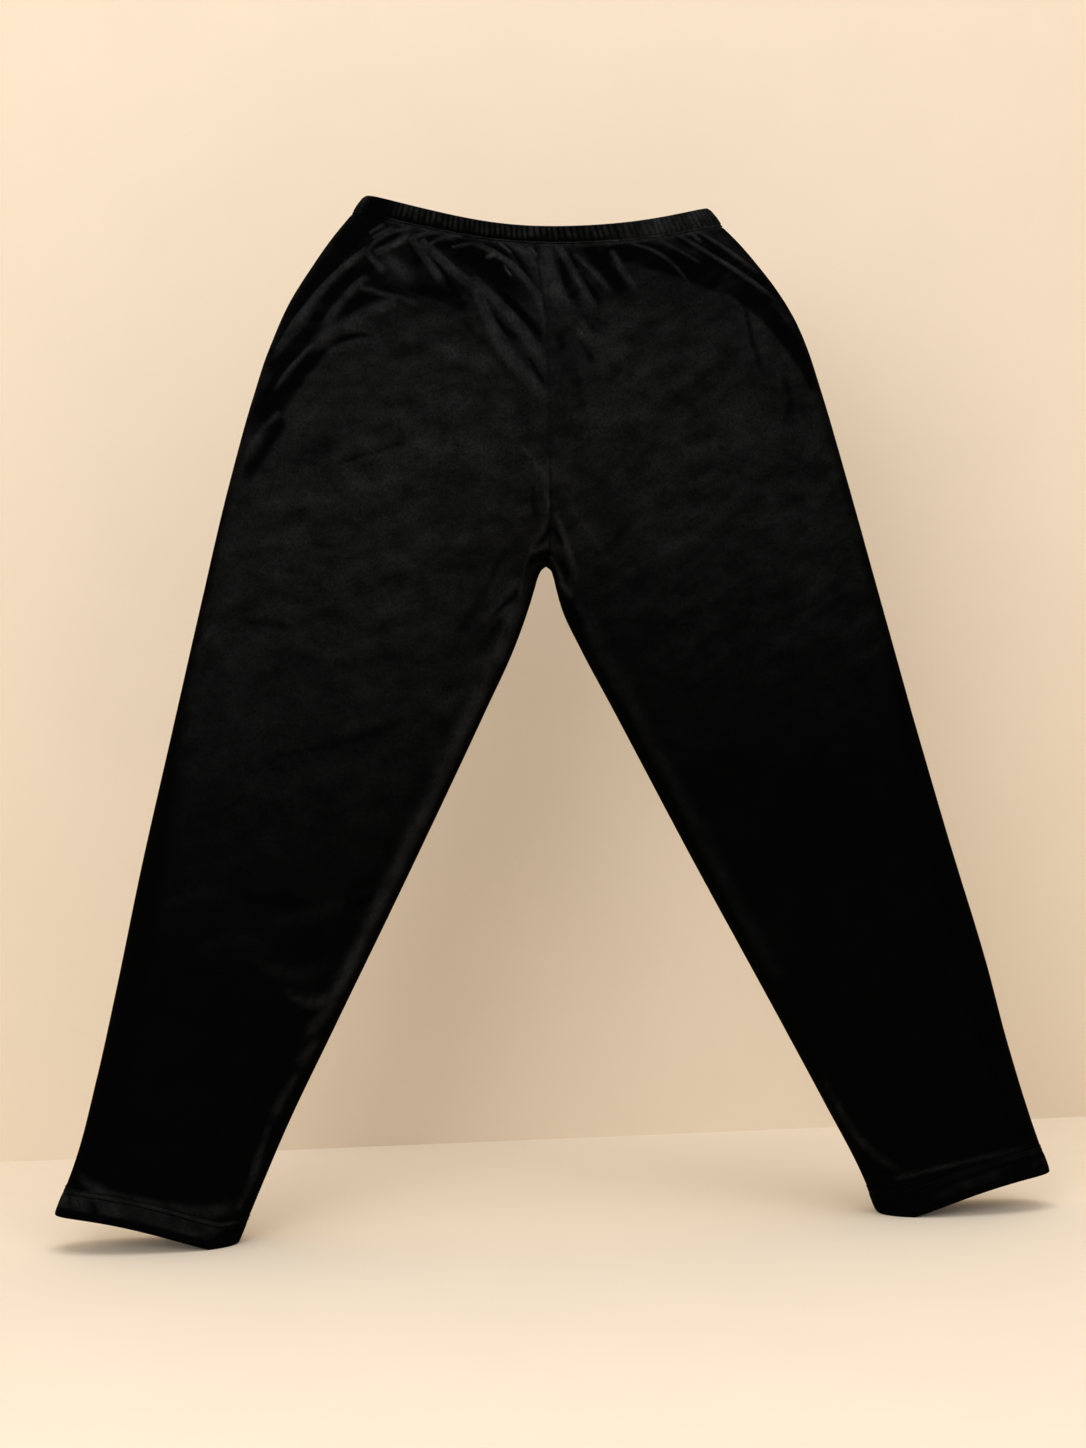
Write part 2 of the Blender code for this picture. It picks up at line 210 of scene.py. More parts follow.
# Gathers and creases as the photograph shows them. Each row's three places are pixels,
# across and down, and it bends through the middle one. Widths and heights are millimetres.
Stroke = namedtuple("Stroke", "across down across_middle down_middle across_end down_end width height")
FRONT_CREASES = rows_of(
    Stroke,
    # the right hip's gathers, running out towards the side seam
    (366, 250, 322, 290, 275, 356, 4.5, 5),
    (364, 279, 344, 298, 322, 330, 6, 4),
    (360, 287, 392, 296, 428, 308, 4, 2.6),
    (392, 303, 340, 329, 310, 348, 8, 4.5),
    (312, 346, 292, 367, 274, 392, 3.4, 4),
    (367, 252, 376, 264, 384, 273, 4.5, 4),
    (377, 252, 392, 246, 411, 234, 4.5, 4),
    (386, 259, 400, 270, 412, 286, 11, 2.2),
    (370, 248, 378, 240, 415, 228, 3, 3),
    (371, 232, 378, 228, 385, 224, 2.4, 4),
    (375, 237, 385, 231, 395, 226, 2.4, 4),
    (412, 238, 437, 232, 462, 236, 3, 3),
    (430, 244, 442, 238, 456, 240, 3, 3),
    (368, 336, 332, 342, 300, 370, 5, -5),
    (378, 258, 345, 285, 305, 345, 10, -5),
    (388, 291, 362, 299, 338, 317, 7, -5),
    (384, 256, 398, 278, 416, 292, 3.5, -3.5),
    (412, 250, 416, 258, 420, 266, 4, -3),
    # the gathers right of the middle seam
    (413, 240, 427, 259, 444, 284, 5, 5),
    (422, 240, 438, 265, 462, 300, 3.6, -5),
    (424, 290, 444, 295, 468, 309, 8, -5.5),
    (424, 243, 446, 262, 476, 288, 6, 6),
    (478, 292, 502, 344, 546, 396, 8, 6),
    (476, 281, 504, 309, 542, 362, 7, 5),
    (481, 297, 496, 320, 520, 340, 5, -6),
    (530, 359, 537, 371, 546, 388, 3, -3.5),
    (437, 241, 480, 262, 518, 288, 12, -7),
    (500, 292, 522, 314, 544, 341, 6, -5),
    (507, 243, 526, 270, 542, 305, 4, -5.5),
    (495, 247, 502, 252, 511, 257, 3, -4),
    (476, 244, 518, 270, 546, 334, 5, 5),
    (512, 244, 532, 258, 544, 298, 6, 5),
    # the gathers left of the middle seam
    (546, 248, 556, 290, 597, 345, 9, 6),
    (555, 247, 553, 258, 557, 272, 2.5, -4),
    (560, 261, 568, 282, 578, 306, 5, -5.5),
    (559, 248, 577, 276, 594, 310, 5, 5),
    (571, 253, 574, 261, 578, 270, 2.6, -4),
    (579, 275, 590, 289, 601, 303, 5, -5.5),
    (577, 256, 592, 271, 611, 294, 4, 4),
    (590, 249, 607, 270, 626, 293, 9, -6),
    (613, 253, 623, 270, 637, 290, 5, 2.6),
    (633, 244, 668, 260, 690, 285, 2.4, 3.4),
    (660, 240, 680, 251, 702, 264, 2.4, 2.8),
    (676, 233, 722, 262, 776, 300, 3, 4),
    (694, 228, 728, 250, 758, 273, 3.2, 3.6),
    (688, 231, 694, 236, 702, 243, 3, 3),
    (745, 306, 750, 332, 763, 372, 4, -2.6),
    (785, 380, 791, 403, 780, 432, 7, -1.8),
    (592, 328, 593, 331, 594, 334, 5, -3),
    (560, 338, 562, 343, 564, 350, 6, -2.4),
    (582, 343, 588, 352, 594, 364, 5, -3),
    (577, 378, 580, 397, 583, 418, 9, -1.3),
    # the belly's long crease, and a fold at the hip
    (338, 463, 373, 452, 412, 439, 3, -3),
    (326, 471, 360, 461, 400, 449, 3.5, 1.2),
    (278, 414, 262, 431, 246, 454, 4, 2.6),
    (280, 424, 262, 452, 240, 484, 8, -5),
    # creases that pull into the crotch
    (524, 448, 540, 468, 551, 486, 5, 1.8),
    (545, 474, 546, 496, 549, 518, 4.5, 1.8),
    (533, 488, 534, 504, 538, 520, 4, -2),
    (548, 494, 547, 514, 536, 540, 3.5, 2.8),
    (556, 514, 566, 542, 579, 584, 4, 2.8),
    (551, 528, 545, 537, 538, 545, 3, -4.5),
    (553, 529, 559, 538, 563, 548, 2.8, -4.5),
    (531, 553, 541, 548, 552, 541, 3.2, 3.2),
    (534, 544, 524, 570, 519, 606, 2.6, 2.6),
    (549, 556, 557, 568, 562, 584, 2.4, 2.6),
    (562, 584, 567, 591, 573, 598, 4.6, 2.8),
    (561, 562, 564, 570, 568, 580, 4, -3.5),
    (566, 600, 574, 613, 584, 630, 6, -4),
    (518, 580, 505, 595, 480, 624, 4.4, 2.4),
    (519, 592, 508, 603, 494, 615, 3, -4),
    (508, 607, 496, 620, 480, 638, 3, 1.2),
    (506, 618, 498, 628, 490, 640, 5, -2),
    # the legs
    (505, 552, 480, 600, 450, 650, 6, -1.4),
    (240, 620, 270, 624, 300, 628, 5, -1.4),
    (280, 755, 350, 740, 420, 715, 5, -1.8),
    (200, 645, 208, 635, 215, 625, 5, 1.4),
    (170, 895, 250, 900, 330, 905, 6, -1.4),
)

# Places painted lighter or darker by tone alone, with no fold: painted shade first, painted sheen and light
# next, painted glints last. The height is how strongly, as if it were a fold's.
FRONT_SHADE = rows_of(
    Stroke,
    # the shaded cloth under both ends of the waistband
    (612, 249, 660, 258, 730, 284, 15, -6),
    (812, 378, 765, 312, 726, 280, 11, -6),
    (690, 238, 730, 262, 778, 308, 14, -6),
    (367, 222, 336, 246, 318, 279, 16, -6),
    (268, 350, 299, 297, 336, 251, 8, -6),
    (314, 349, 288, 380, 253, 428, 15, -6),
    (318, 318, 296, 346, 268, 376, 7, -6),
    (394, 236, 386, 246, 374, 262, 8, -4),
    # painted shade in the crotch's arch
    (534, 559, 542, 556, 553, 559, 6, -6),
    # painted shade in the bends behind the right knee
    (376, 898, 362, 903, 346, 910, 5, -3),
    (296, 1010, 312, 1014, 326, 1010, 4, -2),
)
FRONT_SHEEN = rows_of(
    Stroke,
    # painted sheen, streaked like brush marks, on the belly and the thighs
    (335, 350, 358, 341, 415, 337, 7, 2),
    (410, 367, 430, 361, 450, 367, 8, 1.5),
    (436, 346, 462, 357, 498, 370, 12, 2.6),
    (438, 414, 466, 398, 502, 387, 13, 1.3),
    (490, 400, 505, 405, 524, 414, 8, 1.3),
    (412, 443, 447, 446, 490, 447, 13, 1.8),
    (350, 480, 367, 488, 386, 497, 12, 1.2),
    (452, 489, 463, 493, 476, 498, 8, 1.1),
    (464, 322, 492, 352, 522, 388, 6, -1.6),
    (602, 368, 612, 355, 636, 346, 11, 1.9),
    (612, 384, 648, 370, 690, 341, 9, 1.4),
    (630, 413, 680, 383, 732, 341, 8, 1.3),
    (606, 421, 640, 417, 686, 417, 7, 1),
    (684, 459, 704, 449, 724, 443, 13, 1.2),
    (664, 544, 688, 538, 720, 537, 11, 1.1),
    (570, 506, 593, 537, 620, 570, 5, 1.1),
    (602, 338, 622, 325, 652, 300, 12, 1.8),
    (514, 246, 530, 266, 542, 310, 8, 1.6),
    (550, 246, 556, 285, 558, 325, 9, 1.6),
    # painted light that runs down to the hems and along them
    (176, 1208, 206, 1212, 240, 1205, 9, 2),
    (100, 1191, 135, 1199, 176, 1208, 4.5, 2),
    (82, 1179, 92, 1187, 106, 1193, 8, 2.2),
    (239, 1206, 249, 1186, 262, 1150, 6, 1.9),
    (838, 1106, 862, 1142, 908, 1175, 5.6, 1.7),
    (825, 1082, 832, 1096, 839, 1107, 4, 0.8),
    (897, 1178, 960, 1163, 1036, 1143, 3.4, 1.8),
    # painted light on the bends behind the right knee, and the broken light below it
    (293, 997, 318, 1001, 344, 986, 8, 2.3),
    (332, 1006, 318, 1022, 303, 1038, 9, 2),
    (314, 1044, 305, 1056, 297, 1068, 8, 2),
    (296, 1076, 285, 1094, 271, 1124, 6, 2),
    (268, 1128, 260, 1152, 250, 1184, 5, 1.4),
    (205, 946, 240, 939, 275, 952, 9, 0.3),
    (262, 966, 296, 974, 336, 962, 10, 0.5),
    (170, 900, 210, 896, 250, 908, 10, 0.5),
    (280, 920, 312, 914, 350, 898, 10, 0.6),
)
# Painted glints: small highlights on the gathers' crests
GLINTS = rows_of(
    Stroke,
    (393, 247, 398, 244, 403, 240, 1.8, 1),
    (453, 247, 463, 245, 473, 243, 1.8, 1),
    (487, 257, 492, 255, 497, 253, 2.6, 1),
    (500, 243, 506, 248, 512, 253, 1.6, 1),
    (530, 248, 534, 252, 537, 257, 2, 1),
    (583, 262, 585, 265, 588, 268, 1.8, 1),
    (577, 278, 579, 282, 582, 287, 1.8, 1),
    (577, 328, 580, 332, 583, 337, 1.8, 1),
    (505, 265, 508, 270, 512, 275, 1.6, 1),
)

BACK_FOLDS = rows_of(
    Fold,
    (-112, 952, -236, 836, -14, 11, 6),
    (-100, 950, -214, 822, -10, 9, -5.5),
    (-86, 950, -176, 812, -8, 10, 5),
    (-74, 950, -150, 806, -7, 8, -5),
    (-60, 950, -122, 790, -6, 9, 5.5),
    (-48, 948, -88, 816, -5, 8, -5),
    (-36, 948, -64, 800, -4, 8, 5),
    (-25, 948, -42, 838, -3, 7, -4.5),
    (-14, 948, -24, 826, -2, 8, 4.5),
    (-4, 948, -8, 858, -1, 6, -3),
    (12, 948, 16, 838, 2, 8, 5),
    (22, 948, 34, 850, 2, 7, -4.5),
    (33, 948, 56, 808, 3, 8, 5),
    (44, 948, 78, 826, 4, 8, -5),
    (56, 950, 100, 784, 6, 9, 5.5),
    (70, 950, 132, 818, 7, 8, -5),
    (83, 950, 160, 806, 8, 10, 5),
    (98, 951, 200, 828, 9, 9, -5.5),
    (110, 952, 224, 820, 10, 11, 6),
    (126, 954, 244, 842, 12, 9, -5),
    (-128, 955, -244, 856, -12, 9, -5),
    (-142, 957, -246, 872, -9, 8, 4.5),
    (142, 957, 246, 876, 9, 8, 4.5),
    # the seat's drags, running down into the crotch
    (-8, 700, -100, 604, -8, 12, -4),
    (-16, 718, -126, 630, -10, 13, 3),
    (9, 698, 92, 612, 8, 12, -4),
    (18, 716, 120, 636, 10, 13, 3),
    (-60, 744, -196, 704, -8, 16, 2),
    (66, 752, 190, 716, 8, 15, 2),
    (-52, 600, -190, 552, -10, 13, 2.6),
    (-44, 574, -160, 530, -8, 12, -2.4),
    (58, 596, 182, 562, 10, 14, 2.4),
    (52, 566, 168, 538, 8, 12, -2.2),
    # the legs
    (-100, 446, -226, 420, -6, 14, 2),
    (-150, 372, -250, 336, -6, 12, -2.4),
    (-160, 346, -262, 306, -6, 12, 2),
    (112, 430, 226, 408, 6, 14, -2),
    (164, 352, 262, 322, 6, 12, 2.4),
    (180, 318, 276, 292, 6, 12, -2),
    (-224, 196, -330, 222, -6, 11, 2),
    (236, 196, 336, 232, 6, 11, 2),
    (-276, 96, -340, 60, 5, 10, -1.8),
    (270, 108, 344, 66, 5, 10, -1.8),
)

# How light the knit's colour is painted, from nap in painted shade to painted highlights and glints where
# the nap catches the light
NAP_BLACK = 0.0009
NAP_SHADE = 0.0011
NAP_INSIDE = NAP_SHADE * 1.3
NAP_LINING = NAP_SHADE * 1.6
CREST_HIGHLIGHT = 0.0102
NAP_GLINT = 0.02
NAP_WHITE = 0.032

# How much painted light the nap gets over its shade, on the front's right and left and on the back
RIGHT_PAINTED_LIGHT = 0.0050
LEFT_PAINTED_LIGHT = 0.0040
BACK_PAINTED_LIGHT = 0.0054

# The waistband's painted light on its ribs: everywhere, more at its middle and its left end, a painted
# highlight on its right end's rim, and on the back
BAND_PAINTED_LIGHT = 0.0052
BAND_MIDDLE_LIGHT = 0.0036
BAND_LEFT_LIGHT = 0.0044
BAND_RIM_HIGHLIGHT = 0.0060
BAND_BACK_LIGHT = 0.0038

# Painted light on each hem, on the line between its grooves, and on the cloth at the left one's seam
RIGHT_HEM_LIGHT = 0.0062
RIGHT_LINE_LIGHT = 0.0064
LEFT_HEM_LIGHT = 0.0034
LEFT_LINE_LIGHT = 0.0026
LEFT_SEAM_LIGHT = 0.0042

# Where light and shade start or end, above the floor
KNEE_LIGHT_START = 224
BRUSHED_START = 420
WAVES_START = 440
HIP_LIGHT_START = 690
WAVES_END = 780
WAIST_SHADE_START = 846

# The same from the middle line: at the waistband's right end and along the hems
BAND_LIGHT_START = -152
HEM_CORNER = 304
HEM_WEDGE = 436
HEM_SIDE_SEAM = 466

# The share of their length over which folds, creases, painted sheen and painted shade fade
FOLD_FADING = 0.65
CREASE_FADING = 0.4
SHEEN_FADING = 0.5
SHADE_FADING = 0.35

# Patches of nap to a metre
LEG_PATCHES = 34
BAND_PATCHES = 60

# Edges turned less than this are shaded smoothly
CLOTH_SMOOTHING = math.radians(60)
RIM_SMOOTHING = math.radians(70)

# Places along a face's line, to a rib, round a hem and round a row of stitches
LOOP_COLUMNS = 160
RIB_PLACES = 12
HEM_PLACES = 560
STITCH_PLACES = 4000

# How far a stitch's direction is measured to both sides, in places
STITCH_RUN = 6

# From stitch to stitch, in stitch lengths, and where the upper row lies, down from the seam and out
STITCH_SPACING = 1.18
STITCH_DROP = 0.9
STITCH_OUT = 0.25

# The casing's seam allowance: up from the seam as a share of the casing's height, and its thickness
ALLOWANCE_UP = -0.17
ALLOWANCE_WALL = 1.1

# Round a hem's two layers: up from the lower edge, out from the leg's face, and how loose
HEM_PROFILE = (
    (0, -0.55, 0),
    (0.02, 0.10, 0.1),
    (0.08, 0.50, 0.4),
    (0.16, 0.75, 0.8),
    (0.26, 0.88, 1),
    (0.38, 0.95, 1),
    (0.50, 0.92, 1),
    (0.61, 0.80, 0.8),
    (0.70, 0.55, 0.5),
    (0.76, 0.28, 0.3),
    (0.80, 0.02, 0.1),
    (0.84, 0.28, 0.2),
    (0.885, 0.38, 0.2),
    (0.93, 0.26, 0.2),
    (0.965, 0, 0),
    (1, 0.10, 0),
    (0.99, -1.6, 0),
    (0.95, -2.8, 0),
    (0.60, -2.8, 0.3),
    (0.20, -2.8, 0.3),
    (0.04, -2.3, 0),
    (0, -1.6, 0),
)

# A stitch's bead: how far along each ring lies and how wide it is, as shares of its half length and radius
BEAD_RINGS = ((-1, 0.25), (-0.7, 1), (0.7, 1), (1, 0.25))
BEAD_SIDES = 6
BEAD_LIFT = 0.6

# What shows of each piece, laid flat: width and length in metres, area in square metres
Cut = namedtuple("Cut", "width length area", defaults=(None,))
FRONT_CUT = Cut(0.370, 0.985, 0.268)
BACK_CUT = Cut(0.395, 0.985, 0.276)

# The photograph's viewpoint
VIEW_YAW = math.radians(6.31)
VIEW_ROLL = math.radians(-1.4)
VIEW_DISTANCE = 2.5
VIEW_HEIGHT = 0.483
VIEW_ASIDE = -0.0071
VIEW_LENS = 64.74
SENSOR = 36
PHOTO_WIDTH = 1086
PHOTO_HEIGHT = 1448

# The stage, in metres
WALL_BACK = 0.52
STAGE_REACH = 4


class PANTS_PG_cloth(PropertyGroup):
    """The knit and how far its folds stand out."""

    thickness: FloatProperty(
        name="Cloth", description="Thickness of one layer of knit",
        default=1.4 * MM, unit="LENGTH", min=0.0005,
    )
    fold_strength: FloatProperty(
        name="Folds", description="How far the folds stand out, as a share", default=0.8, min=0, max=1.5
    )
    gather_height: FloatProperty(
        name="Gathers", description="Height of the small gathers under the waistband",
        default=1 * MM, unit="LENGTH",
    )
    crumple_height: FloatProperty(
        name="Crumple", description="Height of the soft uneven waves in the cloth",
        default=0.8 * MM, unit="LENGTH",
    )
    # the colour that the nap's painted light and glints run up to
    colour: FloatVectorProperty(
        name="Nap", description="Colour of the nap where it is lightest",
        default=(0.0305, 0.032, 0.0345), size=3, subtype="COLOR",
    )


class PANTS_PG_waistband(PropertyGroup):
    """The elastic casing."""

    ribs: IntProperty(name="Ribs", description="Gathered ribs round the waist", default=138, min=20)
    rib_height: FloatProperty(
        name="Rib height", description="Height of a rib", default=1.4 * MM, unit="LENGTH"
    )


class PANTS_PG_stitching(PropertyGroup):
    """The twin row of stitches round each hem."""

    stitch_length: FloatProperty(
        name="Stitch", description="Length of a stitch", default=2.8 * MM, unit="LENGTH"
    )
    thread_width: FloatProperty(
        name="Thread", description="Width of the thread", default=0.55 * MM, unit="LENGTH"
    )
    row_distance: FloatProperty(
        name="Rows apart", description="Distance between the two rows", default=4.2 * MM, unit="LENGTH"
    )


# The form of the cloth


def smooth_step(value):
    value = np.clip(value, 0, 1)
    return value * value * (3 - 2 * value)


def ramp(value, start, length):
    """From nought at the start softly to one a length further. A length below nought runs the other way."""
    return smooth_step((value - start) / length)


def hump(value, middle, width):
    """One at the middle, falling softly on both sides."""
    return np.exp(-(((value - middle) / width) ** 2))


def read(table, height, column):
    """A column of a table at a height, on a smooth curve through its rows."""
    heights = np.array([row.height for row in table], float)
    values = np.array([getattr(row, column) for row in table], float)
    slopes = np.gradient(values, heights)
    place = int(np.clip(np.searchsorted(heights, height) - 1, 0, len(heights) - 2))
    span = heights[place + 1] - heights[place]
    part = (height - heights[place]) / span
    rest = 1 - part
    start = values[place] * (1 + 2 * part) * rest * rest
    start_pull = slopes[place] * span * part * rest * rest
    end = values[place + 1] * part * part * (3 - 2 * part)
    end_pull = -slopes[place + 1] * span * part * part * rest
    return start + start_pull + end + end_pull


def full_round(angle):
    """Across and out, for an angle round a section that is a little fuller than an ellipse."""
    across = np.cos(angle)
    out = np.sin(angle)
    power = 2 / FULLNESS
    return np.sign(across) * np.abs(across) ** power, np.abs(out) ** power


# A line across one face, from the side seam to the middle line or the inseam
Row = namedtuple(
    "Row", "level turn side_reach side_height inner_reach inner_height back_lift bow depth_front depth_back"
)


def cloth_row(level, turn, wearer_side):
    side_height = level + read(LIFTS, level, "side")
    return Row(
        level=level,
        turn=turn,
        side_reach=read(SIDE_SEAM, side_height, wearer_side),
        side_height=side_height,
        inner_reach=read(INSEAM, level, wearer_side) if level < CROTCH else 0,
        inner_height=level,
        back_lift=read(LIFTS, level, "back"),
        bow=read(LIFTS, level, "bow"),
        depth_front=read(DEPTHS, level, "front"),
        depth_back=read(DEPTHS, level, "back"),
    )


def panel_rows(wearer_side):
    """Fine rows from the waistband's seam to the hem's seam, closer together at both ends of the leg."""
    rows = [cloth_row(level, 0, wearer_side) for level in np.linspace(BAND_SEAM, RISE_BEND_TOP, HIP_ROWS)]
    for turn in np.linspace(0, QUARTER, BEND_ROWS)[1:]:
        level = CROTCH + (RISE_BEND_TOP - CROTCH) * (1 - math.sin(math.radians(turn)))
        rows.append(cloth_row(level, turn, wearer_side))
    for share in np.linspace(0, 1, LEG_ROWS)[1:]:
        down = share - 0.38 * math.sin(2 * math.pi * share) / (2 * math.pi)
        rows.append(cloth_row(CROTCH + (HEM_SEAM - CROTCH) * down, QUARTER, wearer_side))
    return rows


def column_of(rows, name):
    """One value of every row, as a column beside the rows' points."""
    return np.array([getattr(row, name) for row in rows])[:, None]


def angles_along(row, depth, columns):
    """Where the columns lie round a row: closer together where the cloth turns."""
    end = np.radians(QUARTER + row.turn)
    fine = np.linspace(0, end, FINE_ANGLES)
    across, out = full_round(fine)
    half_width = (row.side_reach - row.inner_reach) / (1 - across[-1])
    steps = np.hypot(np.diff(across * half_width), np.diff(out * depth))
    length = np.concatenate([[0], np.cumsum(steps)])
    shares = np.linspace(0, 1, columns + 1)
    even = np.interp(shares * length[-1], length, fine)
    return COLUMN_EVENNESS * even + (1 - COLUMN_EVENNESS) * shares * end


def lift_along(row, share):
    """How much of a row's lift is reached at a share of the way to the side seam."""
    plain = np.clip(share, 0, 1) ** row.bow
    off_ground = np.clip((share - GROUND_SHARE) / (1 - GROUND_SHARE), 0, 1)
    standing = np.sin(np.radians(QUARTER) * off_ground)
    grounded = 1 - smooth_step(row.level / GROUND_FADE)
    return (1 - grounded) * plain + grounded * standing


def row_points(row, face, columns):
    """A row's points on the wearer's left, from the side seam inwards. Face is -1 in front, 1 behind."""
    reach = row.side_reach - row.inner_reach
    half_width = reach / (1 - full_round(np.radians(QUARTER + row.turn))[0])
    halfway = 1 - reach / (2 * half_width)
    out_halfway = (1 - np.abs(halfway) ** FULLNESS) ** (1 / FULLNESS)
    depth = (row.depth_front if face < 0 else row.depth_back) / out_halfway
    across, out = full_round(angles_along(row, depth, columns))
    x = row.side_reach + half_width * (across - 1)
    inner_height = row.inner_height + (row.back_lift if face > 0 else 0)
    lift = lift_along(row, (x - row.inner_reach) / reach)
    return np.stack([x, face * depth * out, inner_height + (row.side_height - inner_height) * lift], axis=1)


def outward(points, face, rows):
    """The cloth's outward directions. On a seam they lie in its plane, so that both sides meet there."""
    along = np.gradient(points, axis=1)
    down = np.gradient(points, axis=0)
    along[:, 0] = (0, face, 0)
    for place, row in enumerate(rows):
        along[place, -1] = (-1, 0, 0) if row.turn < QUARTER else (0, -face, 0)
    direction = np.cross(down, along) * face
    direction /= np.maximum(np.linalg.norm(direction, axis=2, keepdims=True), 1e-9)
    crotch = [place for place, row in enumerate(rows) if row.turn == QUARTER][0]
    direction[crotch, -1] = (0, 0, -1)
    return direction


def settle(points):
    """Tilts the waist, and lets the middle of its front and back slip sideways."""
    settled = points.copy()
    x, height = points[..., 0], points[..., 2]
    amount = ramp(height, TILT_START, TILT_LENGTH)
    settled[..., 2] -= WAIST_TILT * x * amount
    settled[..., 0] -= SLIP * amount * (1 - smooth_step(np.abs(x) / SLIP_REACH))
    return settled


# Folds, gathers and soft waves


def viewpoint():
    """The camera's place, and how it is turned, as a matrix."""
    ahead = Vector((math.sin(VIEW_YAW), math.cos(VIEW_YAW), 0))
    place = Vector((VIEW_ASIDE, SEAM_PLANE * MM, VIEW_HEIGHT)) - ahead * VIEW_DISTANCE
    return place, ahead.to_track_quat("-Z", "Y").to_matrix() @ Matrix.Rotation(VIEW_ROLL, 3, "Z")


def search_tree():
    """The solids' faces, for finding where a line of sight meets them."""
    verts, faces = [], []
    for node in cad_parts.values():
        base = len(verts)
        verts += [corner.co[:] for corner in node.data.vertices]
        faces += [tuple(base + number for number in face.vertices) for face in node.data.polygons]
    return BVHTree.FromPolygons(verts, faces)


SOLIDS = search_tree()


def unsettled(x, z):
    """Where a place was before the waist settled, found by closing in on it."""
    before_x, before_z = x, z
    for _ in range(8):
        share = ramp(before_z, TILT_START, TILT_LENGTH)
        before_x = x + SLIP * share * (1 - smooth_step(abs(before_x) / SLIP_REACH))
        before_z = z + WAIST_TILT * before_x * share
    return before_x, before_z


def on_cloth(across, down):
    """Where on the cloth the photograph's pixel lies, in millimetres before the waist settled.

    A pixel just past the cloth's edge counts as on the side seams' plane.
    """
    place, turn = viewpoint()
    pixels_ahead = VIEW_LENS / SENSOR * PHOTO_HEIGHT
    sight = turn @ Vector((across - PHOTO_WIDTH / 2, PHOTO_HEIGHT / 2 - down, -pixels_ahead))
    hit = SOLIDS.ray_cast(place, sight)[0]
    if hit is None:
        hit = place + sight * ((SEAM_PLANE * MM - place.y) / sight.y)
    return np.array(unsettled(hit.x / MM, hit.z / MM))


def line_of(fold):
    """Where a fold starts, its direction and length, and how far it bends aside."""
    if isinstance(fold, Fold):
        start = np.array([fold.x_start, fold.z_start])
        way = np.array([fold.x_end, fold.z_end]) - start
        length = np.hypot(*way)
        return start, way / length, length, fold.sway
    start = on_cloth(fold.across, fold.down)
    way = on_cloth(fold.across_end, fold.down_end) - start
    length = np.hypot(*way)
    run = way / length
    middle = on_cloth(fold.across_middle, fold.down_middle) - start
    share = middle @ run / length
    side = middle[1] * run[0] - middle[0] * run[1]
    return start, run, length, side / (4 * share * (1 - share))


def raised(x, z, folds, fading, softness=1):
    """How far ridges stand out and troughs sink at a place. They fade over this share of their length.

    The softness is the share of a fold's width over which its side falls away.
    """
    ridges = np.zeros_like(x)
    troughs = np.zeros_like(x)
    for fold in folds:
        start, run, length, sway = line_of(fold)
        along = (x - start[0]) * run[0] + (z - start[1]) * run[1]
        share = along / length
        side = (z - start[1]) * run[0] - (x - start[0]) * run[1]
        side -= 4 * sway * share * (1 - share)
        width = fold.width * (0.9 + 0.4 * np.clip(share, 0, 1))
        bell = smooth_step((1 - np.abs(side) / width) / softness)
        fade = ramp(share, 1.08, -fading) * smooth_step(1 + along / fold.width)
        rise = ridges if fold.height > 0 else troughs
        rise += fold.height * bell * fade
    return ridges, troughs


def wander(value, seed):
    """A slow uneven wave between -1 and 1."""
    return (
        0.5 * np.sin(value + seed)
        + 0.3 * np.sin(2.31 * value + 1.7 * seed)
        + 0.2 * np.sin(4.77 * value + 2.9 * seed)
    )


def gather_height(x, drop, face):
    """Small uneven gathers that hang from the waistband's seam, round on top and sharp between."""
    phase = x / 10.5 + 0.9 * wander(x / 41, face) + 0.35 * wander(drop / 19 + x / 60, 2 + face)
    lobe = np.abs(np.sin(np.pi * phase / 1.15)) ** 0.8
    reach = 20 + 8 * wander(x / 23, 4 + face)
    return (lobe - 0.35) * (1 - smooth_step(drop / reach))


def lattice(ix, iz, seed):
    """A steady value from 0 to 1 for a whole-numbered place."""
    mixed = np.sin(ix * 127.1 + iz * 311.7 + seed * 74.7) * 43758.5453
    return mixed - np.floor(mixed)


def cloud(x, z, seed):
    """Soft uneven patches between -1 and 1, about one unit wide."""
    ix, iz = np.floor(x), np.floor(z)
    fx, fz = smooth_step(x - ix), smooth_step(z - iz)
    low = lattice(ix, iz, seed) * (1 - fx) + lattice(ix + 1, iz, seed) * fx
    high = lattice(ix, iz + 1, seed) * (1 - fx) + lattice(ix + 1, iz + 1, seed) * fx
    return 2 * (low * (1 - fz) + high * fz) - 1


def crumple(x, z, face):
    """The cloth's slack: soft waves that run slightly downhill, finer at the hips than at the shins."""
    lean = x * 0.94 + z * 0.34
    rise = z * 0.94 - x * 0.34
    broad = cloud(lean / 62, rise / 26, 3 + face)
    middling = cloud(lean / 27 + 0.4 * broad, rise / 12, 7 + face)
    small = cloud(lean / 11, rise / 6, 11 + face)
    busy = 0.35 + 0.65 * ramp(z, 380, 300)
    return (0.55 * broad + 0.32 * middling * busy + 0.13 * small * busy) * (0.55 + 0.45 * busy)


def brush_marks(x, z, face):
    """Feathery marks in the nap, nearly level on the wearer's right, rising on the left, from -1 to 1."""
    rise = z - 0.1 * x - 0.45 * np.maximum(x + 20, 0) + 5 * wander(x / 37, 1 + face)
    return 0.6 * cloud(x / 30, rise / 9, 21 + face) + 0.4 * cloud(x / 13, rise / 4.5, 25 + face)


def distances(points):
    """Distances along the cloth from the side seam, the inner seam, the waistband and the hem."""
    steps = np.linalg.norm(np.diff(points, axis=1), axis=2)
    from_side = np.concatenate([np.zeros((len(points), 1)), np.cumsum(steps, axis=1)], axis=1)
    drops = np.linalg.norm(np.diff(points, axis=0), axis=2)
    from_top = np.concatenate([np.zeros((1, points.shape[1])), np.cumsum(drops, axis=0)], axis=0)
    return from_side, from_side[:, -1:] - from_side, from_top, from_top[-1:] - from_top


